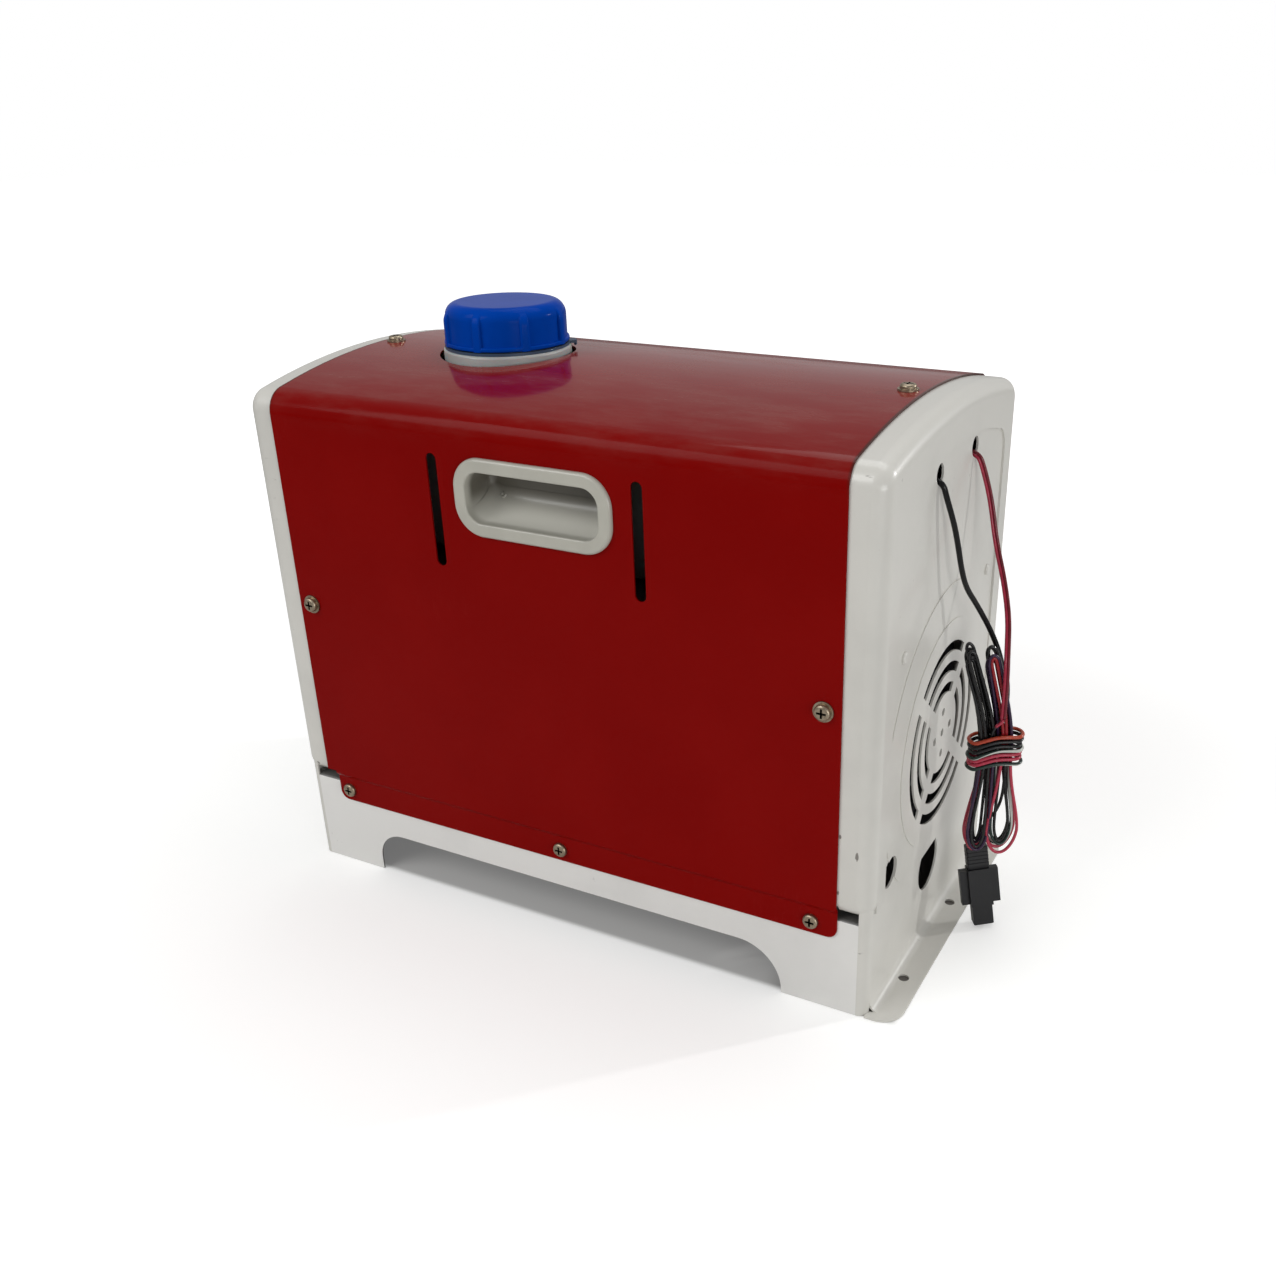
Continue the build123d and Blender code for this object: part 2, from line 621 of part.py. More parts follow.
def cover_strip():
    """Lower edge of the cover: the jog and the strip that lies on the skirt, one side."""
    outer, inner = HALF_COVER, HALF_COVER - COVER_GAUGE
    face_out, face_in = HALF_DEPTH + COVER_GAUGE, HALF_DEPTH
    top = JOG_HEIGHT + JOG_RISE
    points = [(-outer, top), (-outer, JOG_HEIGHT + JOG_RISE / 2), (-face_out, JOG_HEIGHT - JOG_RISE / 2),
              (-face_out, STRIP_BOTTOM), (-face_in, STRIP_BOTTOM), (-face_in, JOG_HEIGHT),
              (-inner, top)]
    profile = Polygon(*points, align=None)
    strip = along_x(profile, -COVER_END, COVER_END)
    width = COVER_LENGTH - STRIP_INSET
    middle = STRIP_INSET / 2
    plate = Pos(middle, (STRIP_BOTTOM + top) / 2) * Rectangle(width, top - STRIP_BOTTOM)
    plate = fillet(plate.vertices().group_by(Axis.Y)[0], STRIP_CORNER)
    return strip & along_y(plate, -HALF_COVER - 1, -HALF_DEPTH + 1)


def red_cover():
    """One sheet wrapped over front, top and back, with slots, handle and filler openings."""
    top = JOG_HEIGHT + JOG_RISE
    cover = along_x(arch(0, top), -COVER_END, COVER_END)
    cover -= along_x(arch(COVER_GAUGE, top - 1), -COVER_END - 1, COVER_END + 1)
    cover += both_sides(cover_strip())
    slot = Pos(0, SLOT_CENTRE_HEIGHT) * Rot(0, 0, 90) * SlotOverall(SLOT_LENGTH, SLOT_WIDTH)
    reach = HALF_COVER + 2
    for sx in (-1, 1):
        cover -= along_y(Pos(sx * SLOT_SPACING / 2, 0) * slot, -reach, reach)
    cover -= along_y(handle_outline(HANDLE_BORDER - HANDLE_WALL - HANDLE_FIT), -reach, reach)
    cover -= rod_z(FILLER_HOLE_RADIUS, COVER_CREST - 20, COVER_CREST + 2, FILLER_X)
    for hole in screw_holes(SIDE_PLACES + TOP_PLACES + STRIP_PLACES):
        cover -= hole
    return cover


def handle_outline(inset):
    """The handle's rounded outline in X and Z, moved in by inset."""
    return Pos(0, HANDLE_CENTRE_HEIGHT) * RectangleRounded(
        HANDLE_WIDTH - 2 * inset, HANDLE_HEIGHT - 2 * inset, HANDLE_CORNER - inset)


def front_handle():
    """Moulded hand pocket: a rounded bezel on the cover and a deep cup behind it."""
    out = -HALF_COVER - HANDLE_PROUD
    bezel = along_y(handle_outline(0), out, -HALF_COVER)
    bezel = fillet(bezel.edges().group_by(Axis.Y)[0], HANDLE_PROUD * 0.8)
    back = -HALF_COVER + HANDLE_DEPTH
    cup = along_y(handle_outline(HANDLE_BORDER - HANDLE_WALL), -HALF_COVER, back)
    cup = fillet(cup.edges().group_by(Axis.Y)[-1], HANDLE_CORNER * 0.35)
    hollow = along_y(handle_outline(HANDLE_BORDER), out - 1, back - HANDLE_WALL)
    hollow = fillet(hollow.edges().group_by(Axis.Y)[-1], HANDLE_CORNER * 0.35 - HANDLE_WALL)
    handle = bezel + cup - hollow
    lip = [e for e in handle.edges().group_by(Axis.Y)[0] if e.length > 0]
    return fillet(lip, 1.2)


def rear_handle():
    """The same moulding on the back."""
    return mirror(front_handle(), Plane.XZ)


def cover_screws():
    """Pan-head screws into the rims: two on the front, two on the back, two on the crest."""
    places = [place * Pos(0, 0, WASHER_GAUGE) for place in SIDE_PLACES + TOP_PLACES]
    return [place * pan_head() for place in places]


def cover_washers():
    """A washer under each of the rim screws."""
    return [place * washer() for place in SIDE_PLACES + TOP_PLACES]


def strip_screws():
    """Smaller row of screws through the strip into the skirt, front and back."""
    return [place * pan_head() for place in STRIP_PLACES]

# ---------------------------------------------------------------- fuel tank
def tank_tray():
    """Sheet shelf between the end panels, with a down-turned flange riveted to each."""
    half = TRAY_DEPTH / 2
    tray = block(-END_INNER, END_INNER, -half, half, TRAY_HEIGHT, TRAY_TOP)
    for sx in (-1, 1):
        low, high = sorted((sx * (END_INNER - TRAY_GAUGE), sx * END_INNER))
        tray += block(low, high, -half, half, TRAY_HEIGHT - TRAY_FLANGE, TRAY_TOP)
        for sy in (-1, 1):
            tray -= rod_x(RIVET_RADIUS / 2, low - 1, high + 1, sy * RIVET_Y, RIVET_HEIGHT)
    z0, z1 = TRAY_HEIGHT - 1, TRAY_TOP + 1
    tray -= rod_z(HOSE_RADIUS + PIPE_CLEARANCE, z0, z1, TANK_PORT_X, TANK_PORT_Y)
    for sy in (-1, 1):
        tray -= rod_z(LEAD_RADIUS + PIPE_CLEARANCE / 2, z0, z1, LEAD_RISER_X, sy * LEAD_RISER_Y)
    for place in strap_screw_places():
        tray -= place * rod_z(SCREW_SHANK + SCREW_CLEAR, -5, 3)
    return tray


def strap_screw_places():
    """Where the strap feet screw down."""
    y = TANK_DEPTH / 2 + STRAP_FIT + STRAP_GAUGE + STRAP_FOOT / 2
    z = TRAY_TOP + STRAP_GAUGE
    return [Pos(x, sy * y, z) for x in STRAP_XS for sy in (-1, 1)]


def tray_rivets():
    """Domed rivets that hold the tray's flanges to the end faces."""
    outer = END_FACE - RECESS_DEPTH
    inner = END_INNER - TRAY_GAUGE
    rivets = []
    for sy in (-1, 1):
        y = sy * RIVET_Y
        rivet = rod_x(RIVET_RADIUS / 2 - THREAD_FIT, inner - 1, outer + 1, y, RIVET_HEIGHT)
        dome = rod_x(RIVET_RADIUS, outer, outer + RIVET_RADIUS / 2, y, RIVET_HEIGHT)
        rivet += fillet(dome.edges().group_by(Axis.X)[-1], RIVET_RADIUS * 0.4)
        rivet += rod_x(RIVET_RADIUS * 0.8, inner - 1.2, inner, y, RIVET_HEIGHT)
        rivets += [rivet, mirror(rivet, Plane.YZ)]
    return rivets


def tank_pads():
    """Rubber strips between the tray and the tank."""
    half = TANK_DEPTH / 2 - TANK_CORNER
    return [block(x - PAD_WIDTH / 2, x + PAD_WIDTH / 2, -half, half, TRAY_TOP, TANK_BOTTOM)
            for x in PAD_XS]


def rounded_block(length, depth, z0, z1, corner):
    """A block centred on the Z axis with every edge rounded."""
    solid = block(-length / 2, length / 2, -depth / 2, depth / 2, z0, z1)
    return fillet(solid.edges(), corner)


def fuel_tank():
    """Blow-moulded tank with a collar and neck that stand up through the cover."""
    tank = rounded_block(TANK_LENGTH, TANK_DEPTH, TANK_BOTTOM, TANK_TOP, TANK_CORNER)
    collar = rod_z(COLLAR_RADIUS, TANK_TOP - TANK_WALL, COLLAR_TOP, FILLER_X)
    tank += fillet(collar.edges().group_by(Axis.Z)[-1], TANK_WALL / 2)
    tank += rod_z(NECK_RADIUS, TANK_TOP, NECK_TOP, FILLER_X)
    tank -= rounded_block(TANK_LENGTH - 2 * TANK_WALL, TANK_DEPTH - 2 * TANK_WALL,
                          TANK_BOTTOM + TANK_WALL, TANK_TOP - TANK_WALL, TANK_CORNER - TANK_WALL)
    tank -= rod_z(NECK_BORE, TANK_TOP - 2 * TANK_WALL, NECK_TOP + 1, FILLER_X)
    low = TANK_BOTTOM - NOZZLE_LENGTH
    tank += rod_z(NOZZLE_RADIUS, low, TANK_BOTTOM + TANK_WALL / 2, TANK_PORT_X, TANK_PORT_Y)
    tank -= rod_z(NOZZLE_BORE, low - 1, TANK_BOTTOM + 2 * TANK_WALL, TANK_PORT_X, TANK_PORT_Y)
    return tank


def tank_straps():
    """Steel bands over the tank with a foot at each end, screwed to the tray."""
    half = TANK_DEPTH / 2 + STRAP_FIT
    top = TANK_TOP + STRAP_FIT
    inside = Pos(0, (TRAY_TOP + top) / 2) * Rectangle(2 * half, top - TRAY_TOP)
    inside = fillet(inside.vertices().group_by(Axis.Y)[-1], TANK_CORNER)
    outer = half + STRAP_GAUGE
    outside = Pos(0, (TRAY_TOP + top + STRAP_GAUGE) / 2) * Rectangle(
        2 * outer, top + STRAP_GAUGE - TRAY_TOP)
    outside = fillet(outside.vertices().group_by(Axis.Y)[-1], TANK_CORNER + STRAP_GAUGE)
    straps = []
    for x in STRAP_XS:
        x0, x1 = x - STRAP_WIDTH / 2, x + STRAP_WIDTH / 2
        strap = along_x(outside - inside, x0, x1)
        for sy in (-1, 1):
            y0, y1 = sorted((sy * outer, sy * (outer + STRAP_FOOT)))
            strap += block(x0, x1, y0, y1, TRAY_TOP, TRAY_TOP + STRAP_GAUGE)
        for place in strap_screw_places():
            strap -= place * rod_z(SCREW_SHANK + SCREW_CLEAR, -3, 3)
        straps.append(strap)
    return straps


def strap_screws():
    """Screws through the strap feet into the tray."""
    return [place * pan_head() for place in strap_screw_places()]


# ---------------------------------------------------------------- filler cap
def filler_cap():
    """Screw cap: domed shell, grip ribs and a bead round its lower edge."""
    radius = NECK_RADIUS + CAP_FIT + CAP_WALL
    reach = radius + CAP_RIB_REACH
    cap = rod_z(radius, CAP_BOTTOM, CAP_TOP)
    cap = fillet(cap.edges().group_by(Axis.Z)[-1], CAP_DOME)
    envelope = rod_z(reach, CAP_BOTTOM, CAP_TOP - CAP_RIB_SHY)
    envelope = fillet(envelope.edges().group_by(Axis.Z)[-1], CAP_DOME + CAP_RIB_REACH)
    for k in range(CAP_RIBS):
        turn = CAP_RIB_PHASE + k * 360 / CAP_RIBS
        rib = block(radius - CAP_DOME, reach + 1, -CAP_RIB_WIDTH / 2, CAP_RIB_WIDTH / 2,
                    CAP_BOTTOM, CAP_TOP)
        rib = rib & envelope
        sides = rib.edges().filter_by(Axis.Z).group_by(Axis.X)[-1]
        cap += Rot(0, 0, turn) * fillet(sides, CAP_RIB_REACH * 0.7)
    bead = rod_z(CAP_BEAD, CAP_BOTTOM, CAP_BOTTOM + CAP_BEAD_HEIGHT)
    cap += fillet(bead.edges(), CAP_BEAD_HEIGHT * 0.35)
    cap -= rod_z(NECK_RADIUS + CAP_FIT, CAP_BOTTOM - 1, CAP_TOP - CAP_ROOF)
    return Pos(FILLER_X, 0, 0) * cap


def cap_seal():
    """Round liner between the neck and the roof of the cap."""
    return rod_z(NECK_RADIUS, NECK_TOP, CAP_TOP - CAP_ROOF, FILLER_X)


def tamper_ring():
    """Broken ring left under the cap, with the torn end of its tab standing out."""
    low = COLLAR_TOP
    high = low + TAMPER_HEIGHT
    ring = rod_z(CAP_BEAD, low, high) - rod_z(NECK_RADIUS + CAP_FIT, low - 1, high + 1)
    half = TAMPER_TAB_WIDTH / 2
    inner, tip = CAP_BEAD - 1, CAP_BEAD + TAMPER_TAB_REACH
    outline = Polygon((inner, -half), (tip - 0.8, -half * 0.8), (tip, 0),
                      (tip - 1.4, half * 0.8), (inner, half), align=None)
    tab = extrude(Pos(0, 0, low) * outline, TAMPER_HEIGHT)
    torn = Polygon((tip - 2, -half * 0.6), (tip - 0.8, -half * 0.8), (tip, 0),
                   (tip - 2, half * 0.3), align=None)
    tab += extrude(Pos(0, 0, low - TAMPER_TAB_DROP) * torn, TAMPER_TAB_DROP + TAMPER_HEIGHT / 2)
    return Pos(FILLER_X, 0, 0) * (ring + Rot(0, 0, TAMPER_TAB_ANGLE) * tab)


# ---------------------------------------------------------------- burner
def polar(radius, angle):
    """A point across the burner's axis, as (y, z); the angle is in degrees from +Y."""
    turn = math.radians(angle)
    return radius * math.cos(turn), GRILLE_HEIGHT + radius * math.sin(turn)


def bolt_drills(radius, x0, x1):
    """Four rods along X on the bolt circle."""
    return [rod_x(radius, x0, x1, *polar(BOLT_CIRCLE, 45 + 90 * k)) for k in range(4)]


def heat_exchanger():
    """Finned aluminium casting with its mounting foot, exhaust passage and studs."""
    flange_end = EXCHANGER_FLANGE_X + FLANGE_THICKNESS
    body = rod_x(EXCHANGER_RADIUS, EXCHANGER_LEFT, flange_end)
    fin = block(EXCHANGER_LEFT + EXCHANGER_WALL, FIN_RIGHT, -FIN_THICKNESS / 2,
                FIN_THICKNESS / 2, EXCHANGER_RADIUS - 1, FIN_RADIUS)
    for k in range(EXCHANGER_FINS):
        turn = (k + 0.5) * 360 / EXCHANGER_FINS
        body += Pos(0, 0, GRILLE_HEIGHT) * Rot(turn, 0, 0) * fin
    body += rod_x(FLANGE_RADIUS, EXCHANGER_FLANGE_X, flange_end)
    half_x, half_y = FOOT_BLOCK_LENGTH / 2, FOOT_BLOCK_WIDTH / 2
    body += block(-half_x, half_x, -half_y, half_y, GASKET_TOP,
                  GRILLE_HEIGHT - EXCHANGER_RADIUS / 2)
    body += block(-half_x - FOOT_LIP, half_x + FOOT_LIP, -half_y - FOOT_LIP, half_y + FOOT_LIP,
                  GASKET_TOP, CASING_BOTTOM)
    seat = EXCHANGER_RADIUS + PLUG_SEAT
    body += rod_y(2 * PLUG_RADIUS, EXCHANGER_RADIUS - 2, seat, PLUG_X, GRILLE_HEIGHT)
    body += rod_z(SENSOR_RADIUS + 1, SENSOR_SEAT - 3, SENSOR_SEAT, SENSOR_X)
    body -= rod_x(EXCHANGER_RADIUS - EXCHANGER_WALL, EXCHANGER_LEFT + EXCHANGER_WALL,
                  flange_end + 1)
    body -= rod_y(PLUG_RADIUS + THREAD_FIT, 0, seat + 1, PLUG_X, GRILLE_HEIGHT)
    body -= rod_y(FUEL_PIPE_RADIUS + CORE_GAP, -FLANGE_RADIUS, 0, FUEL_LINE_X, LINE_HEIGHT)
    body -= rod_z(EXHAUST_RADIUS - EXHAUST_WALL, GASKET_TOP - 1, GRILLE_HEIGHT)
    body -= rod_z(EXHAUST_RADIUS + THREAD_FIT, GASKET_TOP - 1, GASKET_TOP + EXHAUST_SOCKET)
    for drill in bolt_drills(BOLT_RADIUS + THREAD_FIT, EXCHANGER_FLANGE_X - 1, flange_end + 1):
        body -= drill
    for x, y in stud_places():
        body += rod_z(STUD_RADIUS, DECK_HEIGHT - BASE_GAUGE - STUD_DROP, GASKET_TOP + 1, x, y)
    return body


def stud_places():
    """The four studs of the mounting foot."""
    return [(sx * STUD_SPACING_X / 2, sy * STUD_SPACING_Y / 2) for sx in (-1, 1) for sy in (-1, 1)]


def mount_gasket():
    """Fibre gasket between the foot and the deck."""
    half_x, half_y = FOOT_BLOCK_LENGTH / 2 + FOOT_LIP, FOOT_BLOCK_WIDTH / 2 + FOOT_LIP
    gasket = block(-half_x, half_x, -half_y, half_y, DECK_HEIGHT, GASKET_TOP)
    gasket -= rod_z(EXHAUST_RADIUS + CORE_GAP, DECK_HEIGHT - 1, GASKET_TOP + 1)
    for x, y in stud_places():
        gasket -= rod_z(STUD_RADIUS + SCREW_CLEAR, DECK_HEIGHT - 1, GASKET_TOP + 1, x, y)
    return gasket


def mount_nuts():
    """Hexagon nuts on the studs, under the deck."""
    high = DECK_HEIGHT - BASE_GAUGE
    low = high - NUT_HEIGHT
    across = NUT_ACROSS_FLATS / math.sqrt(3)
    nuts = []
    for x, y in stud_places():
        nut = Pos(x, y, low) * extrude(RegularPolygon(across, 6), NUT_HEIGHT)
        nuts.append(nut - rod_z(STUD_RADIUS + THREAD_FIT, low - 1, high + 1, x, y))
    return nuts


def hose_stop(radius, x=0.0):
    """Rounded bead round a stub, which a pushed-on hose meets."""
    bead = rod_z(radius + HOSE_STOP_REACH, HOSE_STOP, HOSE_STOP + HOSE_STOP_LENGTH, x)
    return fillet(bead.edges(), HOSE_STOP_ROUND)


def exhaust_pipe():
    """Steel stub with a hose stop, from the foot down through the deck."""
    high = GASKET_TOP + EXHAUST_SOCKET
    pipe = rod_z(EXHAUST_RADIUS, EXHAUST_END, high) + hose_stop(EXHAUST_RADIUS)
    return pipe - rod_z(EXHAUST_RADIUS - EXHAUST_WALL, EXHAUST_END - 1, high + 1)


def burner_gasket():
    """Ring between the exchanger's flange and the burner."""
    x0, x1 = BURNER_GASKET_X, BURNER_PLATE_X
    ring = tube_x(FLANGE_RADIUS, EXCHANGER_RADIUS - EXCHANGER_WALL, x0, x1)
    for drill in bolt_drills(BOLT_RADIUS + SCREW_CLEAR, x0 - 1, x1 + 1):
        ring -= drill
    return ring


def burner_tube():
    """Combustion tube on its plate, with rows of air ports."""
    x0, x1 = BURNER_PLATE_X, HOUSING_X
    burner = rod_x(FLANGE_RADIUS, x0, x1) + rod_x(BURNER_RADIUS, BURNER_LEFT, x1)
    burner -= rod_x(BURNER_RADIUS - BURNER_WALL, BURNER_LEFT - 1, x0)
    burner -= rod_x(BURNER_RADIUS / 4, x0 - 1, x1 + 1)
    for row in range(3):
        x = BURNER_LEFT + (row + 1) * BURNER_RADIUS / 2
        for k in range(BURNER_PORTS // 2):
            port = rod_y(BURNER_WALL, -BURNER_RADIUS - 1, BURNER_RADIUS + 1, x, 0)
            burner -= Pos(0, 0, GRILLE_HEIGHT) * Rot(k * 360 / BURNER_PORTS, 0, 0) * port
    burner -= rod_y(PLUG_TIP_RADIUS + CORE_GAP, 0, BURNER_RADIUS + 1, PLUG_X, GRILLE_HEIGHT)
    burner -= rod_y(FUEL_PIPE_RADIUS + CORE_GAP, -BURNER_RADIUS - 1, 0, FUEL_LINE_X, LINE_HEIGHT)
    for drill in bolt_drills(BOLT_RADIUS + SCREW_CLEAR, x0 - 1, x1 + 1):
        burner -= drill
    return burner


def glow_plug():
    """Threaded igniter through the exchanger wall, its tip inside the burner."""
    seat = EXCHANGER_RADIUS + PLUG_SEAT
    plug = rod_y(PLUG_RADIUS, BURNER_RADIUS + 4, seat, PLUG_X, GRILLE_HEIGHT)
    plug += rod_y(PLUG_TIP_RADIUS, BURNER_RADIUS - 8, seat, PLUG_X, GRILLE_HEIGHT)
    hexagon = RegularPolygon(NUT_ACROSS_FLATS / math.sqrt(3), 6)
    plug += along_y(Pos(PLUG_X, GRILLE_HEIGHT) * hexagon, seat + NUT_HEIGHT, seat)
    return plug


def fuel_pipe():
    """Thin steel pipe that carries fuel through the casing into the burner."""
    y0 = -CASING_WIDTH / 2 - FUEL_PIPE_OUT
    y1 = -BURNER_RADIUS + 5
    pipe = rod_y(FUEL_PIPE_RADIUS, y0, y1, FUEL_LINE_X, LINE_HEIGHT)
    return pipe - rod_y(NOZZLE_BORE, y0 - 1, y1 + 1, FUEL_LINE_X, LINE_HEIGHT)


def heat_sensor():
    """Overheat sensor standing on the exchanger between two fins."""
    return rod_z(SENSOR_RADIUS, SENSOR_SEAT, SENSOR_SEAT + SENSOR_HEIGHT, SENSOR_X)


def blower_housing():
    """Cast housing: wheel chamber, motor bore, air stub and the pad for the controls."""
    end = HOUSING_X + HOUSING_LENGTH
    housing = rod_x(FLANGE_RADIUS, HOUSING_X, MOTOR_X) + rod_x(HOUSING_RADIUS, MOTOR_X, end)
    pad_x = CONTROL_X + CONTROL_LENGTH / 2
    housing += block(pad_x - 20, pad_x + 20, -14, 14, GRILLE_HEIGHT + HOUSING_RADIUS / 2, PAD_TOP)
    housing += rod_z(AIR_STUB_RADIUS, AIR_STUB_END, GRILLE_HEIGHT - HOUSING_RADIUS, AIR_STUB_X)
    housing += hose_stop(AIR_STUB_RADIUS, AIR_STUB_X)
    housing -= rod_x(HOUSING_BORE, MOTOR_X, end + 1)
    housing -= rod_x(WHEEL_RADIUS + WHEEL_GAP, HOUSING_X - 1, MOTOR_X - HOUSING_WALL)
    housing -= rod_x(SHAFT_RADIUS + CORE_GAP, HOUSING_X, end)
    housing -= rod_z(AIR_STUB_RADIUS - AIR_STUB_WALL, AIR_STUB_END - 1,
                     GRILLE_HEIGHT - WHEEL_RADIUS, AIR_STUB_X)
    for drill in bolt_drills(BOLT_RADIUS + SCREW_CLEAR, HOUSING_X - 1, MOTOR_X + 1):
        housing -= drill
    return housing


def housing_bolts():
    """Four bolts that clamp housing, burner and gasket to the exchanger."""
    bolts = []
    shanks = bolt_drills(BOLT_RADIUS, EXCHANGER_FLANGE_X, MOTOR_X)
    heads = bolt_drills(BOLT_RADIUS + 1.7, MOTOR_X, MOTOR_X + BOLT_RADIUS)
    for shank, head in zip(shanks, heads):
        bolts.append(shank + head)
    return bolts


def motor_can():
    """Steel motor body with a bearing seat in each end."""
    x0, x1 = MOTOR_X, MOTOR_X + MOTOR_LENGTH
    can = rod_x(MOTOR_RADIUS, x0, x1) - rod_x(MOTOR_RADIUS - MOTOR_WALL, x0 + MOTOR_WALL,
                                              x1 - MOTOR_WALL)
    boss = BEARING_WIDTH + MOTOR_WALL
    can += rod_x(BEARING_RADIUS + MOTOR_WALL, x0, x0 + boss)
    can += rod_x(BEARING_RADIUS + MOTOR_WALL, x1 - boss, x1)
    can -= rod_x(BEARING_RADIUS + BEARING_SEAT_FIT, x0 - 1, x0 + BEARING_WIDTH)
    can -= rod_x(BEARING_RADIUS + BEARING_SEAT_FIT, x1 - BEARING_WIDTH, x1 + 1)
    return can - rod_x(SHAFT_RADIUS + CORE_GAP, x0 - 1, x1 + 1)


def motor_magnets():
    """Two curved magnets inside the can."""
    x0 = MOTOR_X + BEARING_WIDTH + 2 * MOTOR_WALL
    x1 = MOTOR_X + MOTOR_LENGTH - BEARING_WIDTH - 2 * MOTOR_WALL
    outer = MOTOR_RADIUS - MOTOR_WALL - THREAD_FIT
    ring = tube_x(outer, outer - MAGNET_THICKNESS, x0, x1)
    gap = MAGNET_THICKNESS / 2
    ring -= block(x0 - 1, x1 + 1, -outer, outer, GRILLE_HEIGHT - gap, GRILLE_HEIGHT + gap)
    return ring.solids()


def shaft_bearings():
    """Two ball bearings, drawn as plain rings."""
    outer, inner = BEARING_RADIUS, SHAFT_RADIUS + SHAFT_FIT
    x0, x1 = MOTOR_X, MOTOR_X + MOTOR_LENGTH
    return [tube_x(outer, inner, x0, x0 + BEARING_WIDTH), tube_x(outer, inner, x1 - BEARING_WIDTH, x1)]


def rotor_shaft():
    """Motor shaft that carries both wheels."""
    shaft = rod_x(SHAFT_RADIUS, SHAFT_LEFT, SHAFT_RIGHT)
    return chamfer(shaft.edges().filter_by(GeomType.CIRCLE), SHAFT_RADIUS / 6)


def motor_armature():
    """Slotted armature on the shaft."""
    middle = MOTOR_X + MOTOR_LENGTH / 2
    x0, x1 = middle - ARMATURE_LENGTH / 2, middle + ARMATURE_LENGTH / 2
    core = tube_x(ARMATURE_RADIUS, SHAFT_RADIUS + HUB_FIT, x0, x1)
    groove = block(x0 - 1, x1 + 1, -SLOT_GAP / 2, SLOT_GAP / 2, ARMATURE_RADIUS * 0.6,
                   ARMATURE_RADIUS + 1)
    for k in range(ARMATURE_POLES):
        core -= Pos(0, 0, GRILLE_HEIGHT) * Rot(k * 360 / ARMATURE_POLES, 0, 0) * groove
    return core


def combustion_wheel():
    """Small bladed wheel that feeds air to the burner."""
    x0 = SHAFT_LEFT + 1
    back = x0 + WHEEL_THICKNESS
    wheel = rod_x(WHEEL_RADIUS, back - BURNER_WALL, back) + rod_x(2 * SHAFT_RADIUS, x0, back)
    blade = block(x0, back - BURNER_WALL / 2, -0.6, 0.6, WHEEL_RADIUS * 0.5, WHEEL_RADIUS - 0.3)
    for k in range(WHEEL_BLADES):
        wheel += Pos(0, 0, GRILLE_HEIGHT) * Rot(k * 360 / WHEEL_BLADES, 0, 0) * blade
    return wheel - rod_x(SHAFT_RADIUS + HUB_FIT, x0 - 1, back + 1)


def intake_impeller():
    """Large fan behind the grille: hub, slanted blades and a shroud ring."""
    x0, x1 = IMPELLER_LEFT, IMPELLER_LEFT + IMPELLER_WIDTH
    fan = rod_x(IMPELLER_HUB, x0, x1)
    fan = fillet(fan.edges().group_by(Axis.X)[-1], IMPELLER_HUB / 3)
    middle = (x0 + x1) / 2
    mean = (IMPELLER_HUB + IMPELLER_RADIUS) / 2
    span = IMPELLER_RADIUS - IMPELLER_HUB + 1
    blade = Pos(middle, 0, mean) * Rot(0, 0, IMPELLER_PITCH) * Box(
        IMPELLER_WIDTH - 3, FIN_THICKNESS, span)
    blade -= tube_x(2 * IMPELLER_RADIUS, IMPELLER_RADIUS - 0.2, x0, x1, z=0)
    for k in range(IMPELLER_BLADES):
        fan += Pos(0, 0, GRILLE_HEIGHT) * Rot(k * 360 / IMPELLER_BLADES, 0, 0) * blade
    fan += tube_x(IMPELLER_RADIUS, IMPELLER_RADIUS - BURNER_WALL, middle - 4, middle + 4)
    return fan - rod_x(SHAFT_RADIUS + HUB_FIT, x0 - 1, x1 + 1)


def casing_outline(inset):
    """Rounded section of the burner casing in Y and Z."""
    return Pos(0, GRILLE_HEIGHT) * RectangleRounded(
        CASING_WIDTH - 2 * inset, CASING_HEIGHT - 2 * inset, CASING_CORNER - inset)


def casing_shell():
    """Both halves of the casing as one open-ended tube."""
    shell = along_x(casing_outline(0) - casing_outline(CASING_WALL), CASING_LEFT, CASING_RIGHT)
    half_x = FOOT_BLOCK_LENGTH / 2 + CORE_GAP
    half_y = FOOT_BLOCK_WIDTH / 2 + CORE_GAP
    shell -= block(-half_x, half_x, -half_y, half_y, CASING_BOTTOM - 1, GRILLE_HEIGHT)
    shell -= rod_z(AIR_STUB_RADIUS + CORE_GAP, CASING_BOTTOM - 1, GRILLE_HEIGHT, AIR_STUB_X)
    shell -= rod_y(FUEL_PIPE_RADIUS + CORE_GAP, -CASING_WIDTH, 0, FUEL_LINE_X, LINE_HEIGHT)
    for sy in (-1, 1):
        shell -= rod_z(LEAD_RADIUS + CORE_GAP, GRILLE_HEIGHT, GRILLE_HEIGHT + CASING_HEIGHT,
                       LEAD_EXIT_X, sy * LEAD_SPREAD / 2)
    return shell


def lower_casing():
    """Lower half of the air casing."""
    return casing_shell() & block(CASING_LEFT, CASING_RIGHT, -CASING_WIDTH, CASING_WIDTH,
                                  CASING_BOTTOM, GRILLE_HEIGHT)


def upper_casing():
    """Upper half of the air casing."""
    return casing_shell() & block(CASING_LEFT, CASING_RIGHT, -CASING_WIDTH, CASING_WIDTH,
                                  GRILLE_HEIGHT, GRILLE_HEIGHT + CASING_HEIGHT)


def cone_x(radius_left, radius_right, x0, x1):
    """A cone along X on the burner's axis."""
    solid = Cone(radius_left, radius_right, x1 - x0)
    return Pos((x0 + x1) / 2, 0, GRILLE_HEIGHT) * Rot(0, 90, 0) * solid


